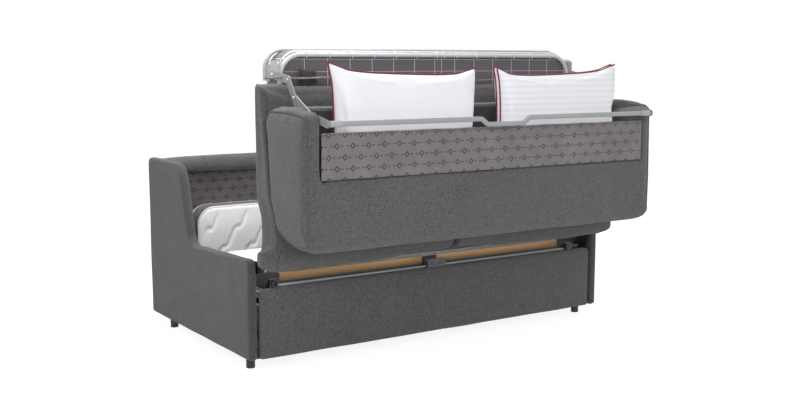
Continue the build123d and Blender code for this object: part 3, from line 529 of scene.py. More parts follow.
# %% The seam tool
def lay_line(name, points, radius, finish, body, slot, closed=False):
    """A thin round line of one finish along points, as a mesh that rides on a body."""
    curve = bpy.data.curves.new(name, "CURVE")
    curve.dimensions = "3D"
    curve.bevel_depth = radius
    curve.bevel_resolution = 2
    curve.use_fill_caps = not closed
    spline = curve.splines.new("POLY")
    spline.points.add(len(points) - 1)
    for control, point in zip(spline.points, points):
        control.co = (*point, 1)
    spline.use_cyclic_u = closed
    shape = put(name + "_curve", curve)
    mesh = bpy.data.meshes.new_from_object(shape.evaluated_get(bpy.context.evaluated_depsgraph_get()))
    bpy.data.objects.remove(shape)
    return cover(new_piece(name, mesh), finish, body, slot)


def even_line(points, closed=False, step=0.006):
    """The same line with a point at every step."""
    corners = [Vector(point) for point in points]
    if closed:
        corners.append(corners[0])
    line = []
    for start, end in zip(corners, corners[1:]):
        count = max(1, round((end - start).length / step))
        line += [start.lerp(end, k / count) for k in range(count)]
    return line if closed else line + [corners[-1]]


def sew(piece, line, depth, width, lift=0.0):
    """Sinks a cover along a line, and gives the line as it then lies on the cover."""
    near = KDTree(len(line))
    for index, point in enumerate(line):
        near.insert(point, index)
    near.balance()
    rows = points_of(piece)
    far = np.array([near.find(row)[2] for row in rows])
    sink = depth * np.exp(-((far / width) ** 2))
    set_points(piece, rows - normals_of(piece) * sink[:, None])
    on_cover = []
    for point in line:
        found, spot, facing, _ = piece.closest_point_on_mesh(point)
        on_cover.append(spot + facing * lift if found else point)
    return on_cover


def stitch(piece, name, points, depth, width, radius, finish, body, closed=False, lift=0.0):
    """A seam: the cover is sunk along a line, and a thin round line is laid there."""
    line = sew(piece, even_line(points, closed), depth, width, lift)
    lay_line(name, line, radius, finish, body, "grey_fabric", closed)


def rounded(corners, step=0.012):
    """Even points along a closed outline of corners (u, v, radius), in metres."""
    points = []
    count = len(corners)
    for index, (u, v, radius) in enumerate(corners):
        here = np.array((u, v))
        before = np.array(corners[index - 1][:2]) - here
        after = np.array(corners[(index + 1) % count][:2]) - here
        before, after = before / np.linalg.norm(before), after / np.linalg.norm(after)
        half = math.acos(max(-1, min(1, float(before @ after)))) / 2
        back = radius / math.tan(half)
        centre = here + (before + after) / np.linalg.norm(before + after) * radius / math.sin(half)
        start, end = here + before * back - centre, here + after * back - centre
        turn = math.atan2(start[0] * end[1] - start[1] * end[0], float(start @ end))
        for share in np.linspace(0, 1, max(2, int(abs(turn) * radius / step) + 2)):
            angle = turn * share
            points.append(centre + (start[0] * math.cos(angle) - start[1] * math.sin(angle),
                                    start[0] * math.sin(angle) + start[1] * math.cos(angle)))
    return np.array(points)


# %% [markdown]
# ## The base
# The arms, the plinth and the back are thin boards under wadding and cloth. Each cover is the skin of
# its solid, evened out, and the arms and the plinth get a slight crown so that their large faces don't
# look like cut sheet.
# The top edge of the back runs a little way up into the roll, to close the slit between them.

# %% The arms
def crown(piece, axis, height):
    """Raises the two large faces a little in the middle, across the axis that they face."""
    rows = points_of(piece)
    low, high = rows.min(0), rows.max(0)
    share = (rows - (low + high) / 2) / ((high - low) / 2)
    others = [a for a in range(3) if a != axis]
    lift = np.prod([1 - share[:, a] ** 4 for a in others], axis=0)
    rows[:, axis] += np.sign(share[:, axis]) * height * lift * np.minimum(1, np.abs(share[:, axis]) * 2)
    set_points(piece, rows)
    return piece


def ripple(piece, size, height, seed):
    """Soft uneven places, as wadding has under a cover."""
    rows = points_of(piece)
    facing = normals_of(piece)
    k = 2 * math.pi / size
    x, y, z = rows.T
    wave = (np.sin(x * k + seed) * np.sin(z * k * 0.83 + 2 * seed)
            + np.sin(y * k * 1.21 + 3 * seed) * np.sin((x + z) * k * 0.57 + seed))
    set_points(piece, rows + facing * (wave * height)[:, None])
    return piece


for side in ("left", "right"):
    arm = skin_of(f"arm_{side}", f"arm_cover_{side}", 0.007, 6)
    ripple(crown(arm, 0, 0.002), 0.31, 0.0005, 1.3)
    cover(arm, arm_cloth, "base", "grey_fabric", f"arm_{side}", fill=0.9)
    print(arm.name, len(arm.data.vertices), "points")

# %% The plinth, the back and its roll
SEAM_X, SEAM_END, UNDER_ROLL = 0.014, 0.004, 0.005
plinth = skin_of("front_plinth", "plinth_cover", 0.006, 4)
ripple(crown(plinth, 1, 0.0015), 0.27, 0.0004, 2.1)
cover(plinth, grey_cloth, "base", "grey_fabric", "front_plinth", fill=0.9)
plinth_low, plinth_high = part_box("front_plinth")
middle_line = [(SEAM_X, plinth_face, z) for z in (plinth_low.z + SEAM_END, plinth_high.z - SEAM_END)]
stitch(plinth, "plinth_seam", middle_line, 0.0018, 0.007, 0.0008, grey_cloth, "base")
back = skin_of("back_panel", "back_cover", 0.006, 3)
rows = points_of(back)
rows[:, 2] += UNDER_ROLL * (rows[:, 2] > rows[:, 2].max() - UNDER_ROLL)
set_points(back, rows)
cover(back, grey_cloth, "base", "grey_fabric", "back_panel", fill=0.9)
roll = skin_of("back_roll", "back_roll_cover", 0.006, 5)
swell(ripple(draw_in(roll, 0.002), 0.23, 0.001, 0.7), 2.0, 0.006)
cover(roll, grey_cloth, "base", "grey_fabric", "back_roll", fill=0.8)
print("base covers:", plinth.name, back.name, roll.name)

# %% [markdown]
# ## The lining inside the back
# The lining is a thin cloth that hangs over the inside of the back, with one crease along it where
# it is tacked. A grid of points with a little thickness is enough, and a soft wave and the crease are
# added to the side that shows.

# %% A hanging cloth
def hanging_cloth(name, node, shape, step=0.012):
    """A grid over the box of a solid that faces the front. Shape gives its depth behind the front."""
    low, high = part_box(node)
    wide = max(2, int((high.x - low.x) / step))
    tall = max(2, int((high.z - low.z) / step))
    grid = bmesh.new()
    bmesh.ops.create_grid(grid, x_segments=wide, y_segments=tall, size=0.5)
    for vertex in grid.verts:
        x = low.x + (vertex.co.x + 0.5) * (high.x - low.x)
        z = low.z + (vertex.co.y + 0.5) * (high.z - low.z)
        vertex.co = (x, low.y + shape(x, z), z)
    piece = new_piece(name, mesh_from(grid, name))
    thick = piece.modifiers.new("thickness", "SOLIDIFY")
    thick.thickness = 0.0012
    thick.offset = -1
    return bake(piece)


CREASE_HEIGHT, CREASE_WIDTH, BULGE, WAVE = 0.575, 0.012, 0.004, 0.0012


def back_lining_depth(x, z):
    """The lining bulges forward between its tacks and is drawn in at the crease."""
    crease = math.exp(-(((z - CREASE_HEIGHT - 0.004 * math.sin(x * 5)) / CREASE_WIDTH) ** 2))
    wave = math.sin(x * 17 + z * 9) * math.sin(z * 23 + x * 4)
    return -BULGE + BULGE * crease - WAVE * wave


inner_lining = hanging_cloth("back_lining_cloth", "back_lining", back_lining_depth)
cover(inner_lining, shaded_lining, "base", "lining_fabric", "back_lining")
print(inner_lining.name, len(inner_lining.data.vertices), "points")

# %% [markdown]
# ## The seat
# Two cushions lie side by side on a plywood board. They stand on edge here, with their rounded noses
# down. Each is a real cushion: the skin of its solid is drawn in and swollen, and a seam runs round
# both of its ends, where the side panels are sewn in. Then we shape what the swelling leaves out: the
# nose is drawn up where the two cushions meet, their rear ends stand up at the sides, and the front
# corners run out past the arms like ears.

# %% The seat cushions
SEAT_RING = [(22, 1100, 14), (-25, 1090, 14), (-119, 450, 40), (-92, 390, 34), (22, 390, 44)]
NOSE_RISE, NOSE_SPREAD, NOSE_WAVE, NOSE_TOP = 0.024, 0.25, 0.002, 0.52
END_PUFF, END_START = 0.010, 0.7
EAR_PUFF, EAR_START, EAR_TOP = 0.019, 0.815, 0.51
EAR_LIFT, EAR_LIFT_START, EAR_LIFT_TOP = 0.018, 0.8, 0.46
OUTER_SEAM, INNER_SEAM = 0.829, 0.011


def side_ring(corners, inset=0.0):
    """An outline of corners in millimetres from the plinth's face, as places in Y and Z."""
    outline = rounded([(u * MM, v * MM, r * MM) for u, v, r in corners])
    if inset:
        middle = outline.mean(0)
        away = outline - middle
        outline = outline - away / np.linalg.norm(away, axis=1)[:, None] * inset
    return [(plinth_face + y, z) for y, z in outline]


def blend_ears(piece):
    """Smooths only the front corners, where the nose runs out past the arms."""
    rows = points_of(piece)
    near = ramp(np.abs(rows[:, 0]), 0.73, 0.05) * ramp(rows[:, 2], 0.66, -0.08)
    smooth = piece.modifiers.new("blend", "SMOOTH")
    smooth.factor = 0.5
    smooth.iterations = 34
    smooth.vertex_group = weigh(piece, "ears", near)
    return bake(piece)


def shape_cushion(piece):
    """Draws the nose up in the middle, raises the rear end at the side and puffs the ear out."""
    rows = points_of(piece)
    nose = ramp(rows[:, 2], NOSE_TOP, -0.1)
    drawn_up = NOSE_RISE * np.exp(-np.abs(rows[:, 0]) / NOSE_SPREAD) * nose
    rows[:, 2] += drawn_up + NOSE_WAVE * np.sin(rows[:, 0] * 19) * nose
    rows[:, 2] += END_PUFF * ramp(np.abs(rows[:, 0]), END_START, 0.04) * ramp(rows[:, 2], 0.95, 0.12)
    ear = ramp(np.abs(rows[:, 0]), EAR_START, 0.05) * ramp(rows[:, 2], EAR_TOP, -0.03)
    rows[:, 0] += np.sign(rows[:, 0]) * EAR_PUFF * ear
    outside = ramp(np.abs(rows[:, 0]), EAR_LIFT_START, 0.09)
    rows[:, 2] += EAR_LIFT * outside ** 2 * (rows[:, 2] < EAR_LIFT_TOP)
    set_points(piece, rows)


# %% Both cushions
for side, sign in (("left", -1), ("right", 1)):
    cushion = skin_of(f"seat_cushion_{side}", f"seat_cover_{side}", 0.0075, 6)
    near_board = ramp(points_of(cushion)[:, 1], from_face(8), 0.012)
    swell(draw_in(cushion, 0.0015), 3.0, 0.006, near_board)
    ripple(cushion, 0.24, 0.0009, 1.9 + sign)
    shape_cushion(blend_ears(cushion))
    cover(cushion, grey_cloth, "seat_unit", "grey_fabric", f"seat_cushion_{side}", fill=0.85)
    for end, x in (("outer", sign * OUTER_SEAM), ("inner", sign * INNER_SEAM)):
        ring = [(x, y, z) for y, z in side_ring(SEAT_RING)]
        stitch(cushion, f"seat_{side}_{end}_seam", ring, 0.0025, 0.008, 0.0011, grey_seam,
               "seat_unit", True)
    print(cushion.name, len(cushion.data.vertices), "points")

# %% [markdown]
# A strip of lining lies over the rear end of the seat. It stands up in a soft arch, lower on the right
# so that the pillow passes it when the backrest turns. A small dark patch of cloth is sewn on it.

# %% The lining over the seat's rear end
END_FLAP, RIGHT_LOWER, END_WAVE = 0.030, 0.55, 0.0012
low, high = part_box("seat_end_lining")
end_strip = skin_of("seat_end_lining", "seat_end_cloth", 0.004, 2)
rows = points_of(end_strip)
arch = np.sin(math.pi * ramp(rows[:, 1], low.y, high.y - low.y))
flap = END_FLAP * (1 - RIGHT_LOWER * ramp(rows[:, 0], 0.02, 0.1))
rows[:, 2] += flap * arch ** 0.6 * (rows[:, 2] > (low.z + high.z) / 2 - 0.002)
rows[:, 2] += END_WAVE * np.sin(rows[:, 0] * 31) * arch
set_points(end_strip, rows)
cover(end_strip, lining, "seat_unit", "lining_fabric", "seat_end_lining", fill=0.5)
patch_low = np.array((-0.655, from_face(28), 1.098))
patch_high = np.array((-0.581, from_face(33), 1.154))
patch_mesh = bmesh.new()
bmesh.ops.create_cube(patch_mesh, size=1.0)
bmesh.ops.subdivide_edges(patch_mesh, edges=patch_mesh.edges, cuts=7, use_grid_fill=True)
for vertex in patch_mesh.verts:
    share = np.array(vertex.co) + 0.5
    spot = patch_low + share * (patch_high - patch_low)
    spot[1] += 0.004 * math.sin(spot[2] * 60) + 0.002 * math.sin(spot[0] * 80)
    spot[2] += 0.005 * math.sin(spot[0] * 45) * share[2]
    vertex.co = spot
end_strap = new_piece("end_strap", mesh_from(patch_mesh, "end_strap"))
cover(end_strap, grey_seam, "seat_unit", "grey_fabric")
print(end_strip.name, "covers the rear end of the seat, with", end_strap.name)

# %% [markdown]
# ## The backrest
# Folded face down on the seat, the backrest shows its rear: a broad grey panel that runs on round
# both padded sides without a seam, and a strip of lining above it. The frame has four solids here,
# so we put one skin over all four. Only the side panels swell: the middle has slots for the steel
# brackets, and it is held in the simulation. The lower corners are then rounded off, and the faces of
# the side panels are crowned. A welt between two rows of stitches runs round each side panel.

# %% The backrest's cover
SIDE_FACE, SIDE_CROWN, CORNER, LOWER_END = 0.845, 0.009, 0.062, 0.505
SIDE_MIDDLE, SIDE_HALF = (from_face(-206), 0.762), (0.166, 0.258)
backrest_nodes = ("backrest_pad", "backrest_side_left", "backrest_side_right", "backrest_rear_panel")
SIDE_RING = [(-372, 1006, 38), (-230, 1020, 60), (-41.4, 1020, 60), (-95, 662, 90), (-140, 560, 50),
             (-255, 505, 34), (-372, 505, 45)]
backrest = skin_of(backrest_nodes, "backrest_cover", 0.008, 5)
held = ramp(np.abs(points_of(backrest)[:, 0]), 0.812, -0.02)
swell(draw_in(backrest, 0.001), 2.5, 0.005, held)
ripple(backrest, 0.33, 0.0009, 0.4)
rows = points_of(backrest)
out = np.abs(rows[:, 0]) - (SIDE_FACE - CORNER)
down = LOWER_END + CORNER - rows[:, 2]
reach = np.hypot(out, down)
too_far = (out > 0) & (down > 0) & (reach > CORNER)
shrink = np.where(too_far, CORNER / np.maximum(reach, 1e-6), 1.0)
rows[:, 0] = np.where(too_far, np.sign(rows[:, 0]) * (SIDE_FACE - CORNER + out * shrink), rows[:, 0])
rows[:, 2] = np.where(too_far, LOWER_END + CORNER - down * shrink, rows[:, 2])
along, upright = (np.clip((rows[:, a] - middle) / half, -1, 1)
                  for a, middle, half in zip((1, 2), SIDE_MIDDLE, SIDE_HALF))
bulge = SIDE_CROWN * (1 - along ** 4) * (1 - upright ** 4) * ramp(np.abs(rows[:, 0]), 0.82, 0.02)
rows[:, 0] += np.sign(rows[:, 0]) * bulge
set_points(backrest, rows)
cover(backrest, grey_cloth, "backrest", "grey_fabric", *backrest_nodes, fill=0.85)
side_seams = (("welt", 0.0130, 0.0028, grey_cloth), ("outer", 0.0090, 0.0014, grey_seam),
              ("inner", 0.0170, 0.0014, grey_seam))
for side, sign in (("left", -1), ("right", 1)):
    for row, inset, radius, finish in side_seams:
        ring = [(sign * SIDE_FACE, y, z) for y, z in side_ring(SIDE_RING, inset)]
        stitch(backrest, f"backrest_{side}_{row}_seam", ring, 0.0013, 0.007, radius, finish, "backrest",
               True, 0.0004)
print(backrest.name, len(backrest.data.vertices), "points")

# %% The backrest's lining and its board
pocket_cloth = skin_of("pocket_lining", "pocket_cloth", 0.0035, 2)
ripple(pocket_cloth, 0.19, 0.001, 2.6)
cover(pocket_cloth, lining, "backrest", "lining_fabric", "pocket_lining", fill=0.9)
board_cloth = skin_of("backrest_board", "backrest_board_cloth", 0.004, 2)
ripple(board_cloth, 0.11, 0.0008, 5.1)
cover(board_cloth, grey_seam, "backrest", "grey_fabric", "backrest_board")
low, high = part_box("pocket_lining")
lower_edge = [(x, low.y - 0.0004, low.z) for x in np.linspace(low.x, high.x, 60)]
lay_line("pocket_seam", lower_edge, 0.0013, grey_seam, "backrest", "grey_fabric")
print("rear:", pocket_cloth.name, board_cloth.name, "seam at", round(low.z, 3))

# %% [markdown]
# ## The pillows
# A pillow is two sheets of cotton sewn round their edges and stuffed. We make it the same way: two
# grids that share their rim, swollen by the Cloth simulation. The filling pulls the straight edges
# inwards and leaves the corners standing out, which no plain box has. Both pillows have a slack top
# and wine-red piping down their left edge and along their top. The right one has a strip of cotton
# between its two sheets, a gusset, with piping along both of the strip's edges.

# %% The pillows
CELL, LOWER_SAG, SIDE_PULL, PUFF = 0.0125, 0.012, 0.014, 0.82


def pull_in(u, v, sag, lean):
    """How far a point at u, v, each from -1 to 1, is drawn inwards across and downwards."""
    corner = lean[2] * max(0, u * v) ** 8
    dip = sag if v > 0 else LOWER_SAG
    across = SIDE_PULL * (1 - v * v) * u * abs(u) ** 3 + corner
    down = dip * (1 - abs(u) ** 3.4) * v * abs(v) ** 3 + (lean[0] + lean[1] * u) * max(0, v) + corner
    return across, down


def stuffed_pillow(name, low, high, pressure, sag, lean, gusset):
    """Two sheets over a box, sewn at the rim or to a gusset. Gives the rims of both sheets in order."""
    sheet = bmesh.new()
    middle, half = (low + high) / 2, (high - low) / 2
    across, up = int(half.x * 2 / CELL), int(half.z * 2 / CELL)
    rim = ([(i, 0) for i in range(across)] + [(across, j) for j in range(up)]
           + [(i, up) for i in range(across, 0, -1)] + [(0, j) for j in range(up, 0, -1)])
    grid = {}
    for face in (-1, 1):
        for i in range(across + 1):
            for j in range(up + 1):
                if face == 1 and not gusset and (i in (0, across) or j in (0, up)):
                    grid[face, i, j] = grid[-1, i, j]
                    continue
                u, v = 2 * i / across - 1, 2 * j / up - 1
                puff = ((1 - u ** 4) * (1 - v ** 4)) ** 0.5 * (half.y * PUFF - gusset / 2) + gusset / 2
                pulled = pull_in(u, v, sag, lean)
                spot = middle + Vector((u * half.x - pulled[0], face * puff, v * half.z - pulled[1]))
                grid[face, i, j] = sheet.verts.new(spot)
        for i in range(across):
            for j in range(up):
                corners = [grid[face, i + a, j + b] for a, b in ((0, 0), (1, 0), (1, 1), (0, 1))]
                sheet.faces.new(corners if face < 0 else corners[::-1])
    if gusset:
        for here, following in zip(rim, rim[1:] + rim[:1]):
            sheet.faces.new([grid[-1, *following], grid[-1, *here], grid[1, *here], grid[1, *following]])
    sheet.verts.index_update()
    orders = [[grid[face, i, j].index for i, j in rim] for face in (-1, 1)]
    piece = swell(new_piece(name, mesh_from(sheet, name)), pressure, 0.018)
    return piece, orders, across + up


def keep_inside(piece, low, high):
    """Presses a piece flat where it would leave its box."""
    rows = points_of(piece)
    set_points(piece, np.minimum(np.maximum(rows, np.array(low)), np.array(high)))
    return piece


# %% Both pillows
for side, finish, sag, lean, gusset, wider in (
        ("left", white_cotton, 0.023, (0.0, 0.01, 0.006), 0.0, 0.014),
        ("right", striped_cotton, 0.026, (0.002, -0.011, 0.010), 0.022, 0.0)):
    low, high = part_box(f"pillow_{side}")
    high.x += wider
    pillow, orders, top_start = stuffed_pillow(f"pillow_cover_{side}", low, high, 1.2, sag, lean, gusset)
    keep_inside(pillow, (low.x - 0.006, low.y, low.z - 0.004), (high.x + 0.006, high.y, high.z + 0.012))
    rows = points_of(pillow)
    pipings = [[tuple(point) for point in rows[order[top_start:] + order[:1]]] for order in orders]
    smooth = pillow.modifiers.new("round", "SUBSURF")
    smooth.levels = smooth.render_levels = 1
    cover(bake(pillow), finish, f"pillow_{side}", "pillow_fabric", f"pillow_{side}", fill=0.8)
    for row, line in (("front", pipings[0]), ("rear", pipings[1]))[:2 if gusset else 1]:
        lay_line(f"pillow_{side}_{row}_piping", line, 0.003, wine_piping, f"pillow_{side}",
                 "pillow_fabric")
    print(pillow.name, len(pillow.data.vertices), "points")

# %% [markdown]
# ## The mattress
# A mattress section is a block with a piped edge round both of its faces. The side that is slept on
# is quilted: long stitched lines draw the ticking down, and the wadding stands up between them. We work
# out for every point how far it is from the nearest stitched line, and sink it by a smooth curve of it.
# The lines climb in slanted steps, so the distance is measured to a slanted run and to a level run.

# %% The mattress sections
STEP_HIGH, STEP_RUN, STEP_LEVEL, ROW_APART = 0.086, 0.043, 0.030, 0.142
STITCH_WIDTH, STITCH_DEPTH, TOP_RISE, END_STAND = 0.0085, 0.0065, 0.003, 0.015
PIPING, PIPING_INSET = 0.005, 0.008


def from_stitching(u, v):
    """How far a point of the ticking is from the nearest stitched line, in metres."""
    climb = v / STEP_HIGH
    whole = np.floor(climb)
    part = climb - whole
    line = (STEP_RUN + STEP_LEVEL) * whole + STEP_RUN * part
    off = (u - line + ROW_APART / 2) % ROW_APART - ROW_APART / 2
    slanted = np.abs(off) * math.cos(math.atan(STEP_RUN / STEP_HIGH))
    reach = (u - (STEP_RUN + STEP_LEVEL) * np.round(climb)) % ROW_APART
    along = (reach > ROW_APART - STEP_LEVEL) | (reach < 0.002)
    level = np.where(along, np.abs(climb - np.round(climb)) * STEP_HIGH, 1.0)
    return np.minimum(slanted, level)


def mattress_section(node, name, body, axis, face_sign, corners):
    """Dresses a section. Axis is the way through it, and face_sign the side that is slept on."""
    piece = skin_of(node, name, 0.006, 5)
    rows, facing = points_of(piece), normals_of(piece)
    across, along = (0, 1) if axis == 2 else (0, 2)
    low, high = rows.min(0), rows.max(0)
    is_face = ramp(np.abs(facing[:, axis]), 0.75, 0.2)
    slept_on = facing[:, axis] * face_sign > 0
    gap = from_stitching(rows[:, across] + 0.03, rows[:, along])
    sink = np.exp(-((gap / STITCH_WIDTH) ** 2)) * STITCH_DEPTH
    inset = np.minimum.reduce([rows[:, a] - low[a] for a in (across, along)]
                              + [high[a] - rows[:, a] for a in (across, along)])
    sink = sink * ramp(inset, 0.02, 0.03) * slept_on
    rise = TOP_RISE * ramp(inset, 0, 0.08) * slept_on
    rows[:, axis] += (rise - sink) * is_face * face_sign
    rows[:, along] += END_STAND * ramp(rows[:, along], high[along] - 0.1, 0.08)
    set_points(piece, rows)
    cover(piece, (white_ticking, mauve_band), body, "mattress_fabric", node, fill=0.9)
    for face in piece.data.polygons:
        face.material_index = 0 if face.normal[axis] * face_sign > 0.55 else 1
    for edge, depth in (("sleeping", high[axis] if face_sign > 0 else low[axis]),
                        ("under", low[axis] if face_sign > 0 else high[axis])):
        away = PIPING_INSET * (-face_sign if edge == "sleeping" else face_sign)
        ring = []
        for u, v in rounded(corners):
            point = [0.0, 0.0, 0.0]
            point[across], point[along], point[axis] = u, v, depth + away
            ring.append(tuple(point))
        lay_line(f"{name}_{edge}_piping", ring, PIPING, white_piping, body, "mattress_fabric", True)
    return piece


def plan_ring(low, high, across, along, low_round, high_round, inset=0.006):
    """The corners of a mattress in its own plane, drawn in a little for the piping."""
    a0, a1 = low[across] + inset, high[across] - inset
    b0, b1 = low[along] + inset, high[along] - inset + END_STAND
    return [(a0, b0, low_round), (a1, b0, low_round), (a1, b1, high_round), (a0, b1, high_round)]


# %% The three sections
for node, body, axis, face_sign, high_round in (("foot_mattress", "seat_unit", 1, 1, 0.079),
                                                ("middle_mattress", "middle_section", 2, 1, 0.025),
                                                ("head_mattress", "head_section", 1, -1, 0.079)):
    low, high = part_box(node)
    corners = plan_ring(low, high, 0, 1 if axis == 2 else 2, 0.025, high_round)
    section = mattress_section(node, node + "_cover", body, axis, face_sign, corners)
    print(section.name, len(section.data.vertices), "points")

# %% [markdown]
# ## The wire nets
# In the frame a net is one thin plate with square holes. The real net is round wire, welded where
# it crosses, and each wire ends in a hook over the frame tube. We read the box of the tube, lay straight
# wires across it both ways, and bend both ends of each wire round the tube. One of the long wires has
# a second one close beside it.

# %% Rings of points
def ring_of(heap, centre, up, side, radius, count):
    """A ring of new points round a centre."""
    return [heap.verts.new(centre + (up * math.cos(a) + side * math.sin(a)) * radius)
            for a in np.linspace(0, 2 * math.pi, count, endpoint=False)]


def bridge(heap, rings):
    """Faces from each ring to the next."""
    for ring, following in zip(rings, rings[1:]):
        for k in range(len(ring)):
            after = (k + 1) % len(ring)
            heap.faces.new((ring[k], ring[after], following[after], following[k]))


# %% The wires of a net
WIRE_RADIUS, TUBE_RADIUS, FRAME_REACH = 0.0028, 0.009, 0.7305
COLUMNS, ROW_STEP, NET_MARGIN, END_ROW = 14, 0.105, 0.065, 0.017
FULL_HOOK, SHORT_HOOK = (3.6, 0.008), (1.9, 0.002)


def hooked_wire(start, end, lift, over, tail):
    """A wire from tube to tube, on the side that lift points to, hooked over by an angle with a tail."""
    start, end, lift = Vector(start), Vector(end), Vector(lift).normalized()
    points = []
    reach = TUBE_RADIUS + WIRE_RADIUS
    for centre, way in ((start, (start - end).normalized()), (end, (end - start).normalized())):
        hook = [centre + lift * (reach * math.cos(a)) + way * (reach * math.sin(a))
                for a in np.linspace(0, over, 9)]
        last = hook[-1] + (hook[-1] - hook[-2]).normalized() * tail
        points.append(hook + [last])
    return points[0][::-1] + points[1]


def tubes_along(paths, radius, sides=8):
    """One mesh of round wires along lists of points."""
    mesh = bmesh.new()
    for path in paths:
        rings = []
        up = None
        for index, point in enumerate(path):
            ahead = (path[min(index + 1, len(path) - 1)] - path[max(index - 1, 0)]).normalized()
            if up is None:
                up = ahead.orthogonal().normalized()
            up = (up - ahead * up.dot(ahead)).normalized()
            rings.append(ring_of(mesh, point, up, ahead.cross(up), radius, sides))
        bridge(mesh, rings)
        mesh.faces.new(rings[0][::-1])
        mesh.faces.new(rings[-1])
    bmesh.ops.recalc_face_normals(mesh, faces=mesh.faces)
    return mesh_from(mesh, "wires")


def wire_net(name, node, frame_node, body, axis, lift_sign):
    """Round wires in place of a net's plate. Axis is the way through it."""
    low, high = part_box(frame_node)
    along = 1 if axis == 2 else 2
    centre = (low + high) / 2
    lift = Vector((0, 0, 0))
    lift[axis] = lift_sign
    paths = []
    length = high[along] - low[along] - 2 * TUBE_RADIUS
    spots = [(-1 + 2 * k / COLUMNS) * (FRAME_REACH - TUBE_RADIUS) for k in range(1, COLUMNS)]
    beside = 0.34 * spots[COLUMNS // 2] + 0.66 * spots[COLUMNS // 2 - 1]
    for x in spots + [beside]:
        start, end = centre.copy(), centre.copy()
        start.x = end.x = x
        start[along], end[along] = centre[along] - length / 2, centre[along] + length / 2
        paths.append(hooked_wire(start, end, lift, *FULL_HOOK))
    inner = length - 2 * NET_MARGIN
    count = max(2, round(inner / ROW_STEP))
    levels = [NET_MARGIN + inner * k / count for k in range(count + 1)]
    for level in [END_ROW] + levels + [length - END_ROW]:
        start, end = centre.copy(), centre.copy()
        start[along] = end[along] = centre[along] - length / 2 + level
        start.x, end.x = -FRAME_REACH, FRAME_REACH
        paths.append(hooked_wire(start, end, lift, *SHORT_HOOK))
    piece = new_piece(name, tubes_along(paths, WIRE_RADIUS))
    return cover(piece, bright_coat, body, "painted_steel", node)


for name, body, axis, lift_sign in (("foot", "seat_unit", 1, 1), ("middle", "middle_section", 2, 1),
                                    ("head", "head_section", 1, -1)):
    net = wire_net(f"{name}_wires", f"{name}_net", f"{name}_frame", body, axis, lift_sign)
    print(net.name, len(net.data.vertices), "points")

# %% [markdown]
# ## Small hardware
# Bolts have a low domed head with a round recess. A head is a lathe form: a few rings of points round
# an axis, from the rim over the dome and down into the recess.

# %% Bolt heads and screws
HEAD_RINGS = ((1.0, 0.0), (1.0, 0.45), (0.86, 0.8), (0.6, 1.0), (0.42, 1.0), (0.4, 0.35))
HEAD_SIDES = 24


def bolt_heads(name, places, radius, height, body, finish, *nodes):
    """Domed heads with a recess. Places are pairs of a centre on the face and the way out."""
    mesh = bmesh.new()
    for centre, out in places:
        out = Vector(out).normalized()
        up = out.orthogonal().normalized()
        side = out.cross(up)
        rings = [ring_of(mesh, Vector(centre) + out * (height * lift), up, side, radius * share,
                         HEAD_SIDES) for share, lift in HEAD_RINGS]
        bridge(mesh, rings)
        mesh.faces.new(rings[-1])
    bmesh.ops.recalc_face_normals(mesh, faces=mesh.faces)
    return cover(new_piece(name, mesh_from(mesh, name)), finish, body, "bright_steel", *nodes)


bracket_places = [(0.7491, 72, 1136), (0.7491, -52, 1118), (0.7491, -99.1, 1052.3)]
link_places = [(0.7438, 102, 1175), (0.7438, 32, 1175)]
bolt_places = [((sign * x, from_face(y), z * MM), (sign, 0, 0))
               for sign in (-1, 1) for x, y, z in bracket_places + link_places]
bolt_heads("frame_bolt_heads", bolt_places, 0.006, 0.0035, "seat_unit", zinc, "frame_bolts")
screw_places = [((x * MM, from_face(5.3), 341 * MM), (0, -1, 0)) for x in (-45, -5)]
bolt_heads("bracket_screws", screw_places, 0.004, 0.002, "base", black_coat)
print("bolts:", len(bolt_places), "screws:", len(screw_places))

# %% [markdown]
# ## Camera, lamps and floor
# The camera stands where the photographer stood: low, to the left and well back, with a slightly long
# lens. Three lamps are large and soft, and a small one lights the mattress inside the back. The floor
# and the surroundings look white to the camera, and the floor still takes a faint shadow.

# %% The camera
camera_data = bpy.data.cameras.new("camera")
camera_data.lens = 47.71
camera_data.sensor_width = 36
camera_data.clip_end = 100
camera = put("camera", camera_data)
camera.location = (-2.600, from_face(-3581), 1.173)
camera.rotation_euler = (math.radians(90 - 7.567), 0, math.radians(-33.70))
bpy.context.scene.camera = camera
print("camera at", tuple(round(v, 3) for v in camera.location))


# %% The lamps
def soft_lamp(name, place, target, size, watts):
    """A square lamp at a place that points at a target."""
    data = bpy.data.lights.new(name, "AREA")
    data.size = size
    data.energy = watts
    lamp = put(name, data)
    lamp.location = place
    lamp.rotation_euler = (Vector(target) - Vector(place)).to_track_quat("-Z", "Y").to_euler()
    return lamp


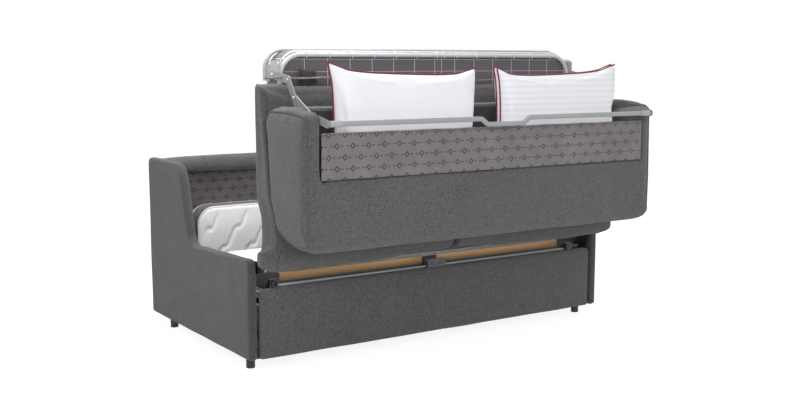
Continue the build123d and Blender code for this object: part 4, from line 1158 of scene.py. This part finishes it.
soft_lamp("key_lamp", (-4.3, -3.3, 2.5), (0, 0, 0.7), 2.4, 45)
soft_lamp("front_lamp", (-1.9, -5.2, 2.3), (0, 0, 0.6), 2.6, 84)
soft_lamp("top_lamp", (0.3, 0.6, 4.6), (0, 0, 0.3), 3.4, 62)
inner_lamp = soft_lamp("inner_lamp", (-0.7, 0.1, 1.85), (-0.5, 0.6, 0.4), 0.8, 15)
inner_lamp.visible_camera = False


# %% The floor and the white surroundings
def seen_directly(tree):
    """1 for rays from the camera and for those that a shiny or clear surface sends on."""
    rays = add_node(tree, "LightPath")
    either = reckon(tree, "MAXIMUM", rays.outputs["Is Camera Ray"], rays.outputs["Is Glossy Ray"])
    return reckon(tree, "MAXIMUM", either, rays.outputs["Is Transmission Ray"])


world = bpy.data.worlds.new("surroundings")
bpy.context.scene.world = world
world.use_nodes = True
sky_tree = world.node_tree
sky_tree.nodes.clear()
sky_out = add_node(sky_tree, "OutputWorld")
dim = add_node(sky_tree, "Background", [("Color", (1, 1, 1, 1)), ("Strength", 0.62)])
white = add_node(sky_tree, "Background", [("Color", (1, 1, 1, 1)), ("Strength", 1.0)])
sky_mix = add_node(sky_tree, "MixShader", [(0, seen_directly(sky_tree)), (1, dim.outputs[0]),
                                           (2, white.outputs[0])])
sky_tree.links.new(sky_mix.outputs[0], sky_out.inputs["Surface"])

floor_mesh = bpy.data.meshes.new("floor")
floor_mesh.from_pydata([(-30, -30, 0), (30, -30, 0), (30, 30, 0), (-30, 30, 0)], [], [(0, 1, 2, 3)])
floor = put("floor", floor_mesh)
floor_white, floor_tree, floor_shader = start_finish("floor_white", (0.86, 0.86, 0.86), 0.9)
faint = add_node(floor_tree, "BsdfDiffuse", [("Color", (0.3, 0.3, 0.3, 1))])
glow = add_node(floor_tree, "Emission", [("Color", (1, 1, 1, 1)), ("Strength", 0.88)])
seen_floor = add_node(floor_tree, "AddShader", [(0, faint.outputs[0]), (1, glow.outputs[0])])
floor_mix = add_node(floor_tree, "MixShader", [(0, seen_directly(floor_tree)),
                                               (1, floor_shader.outputs[0]), (2, seen_floor.outputs[0])])
floor_tree.links.new(floor_mix.outputs[0], floor_tree.nodes["Material Output"].inputs["Surface"])
floor_mesh.materials.append(floor_white)
bpy.context.scene.view_settings.view_transform = "Standard"
print("stage:", floor.name, world.name)
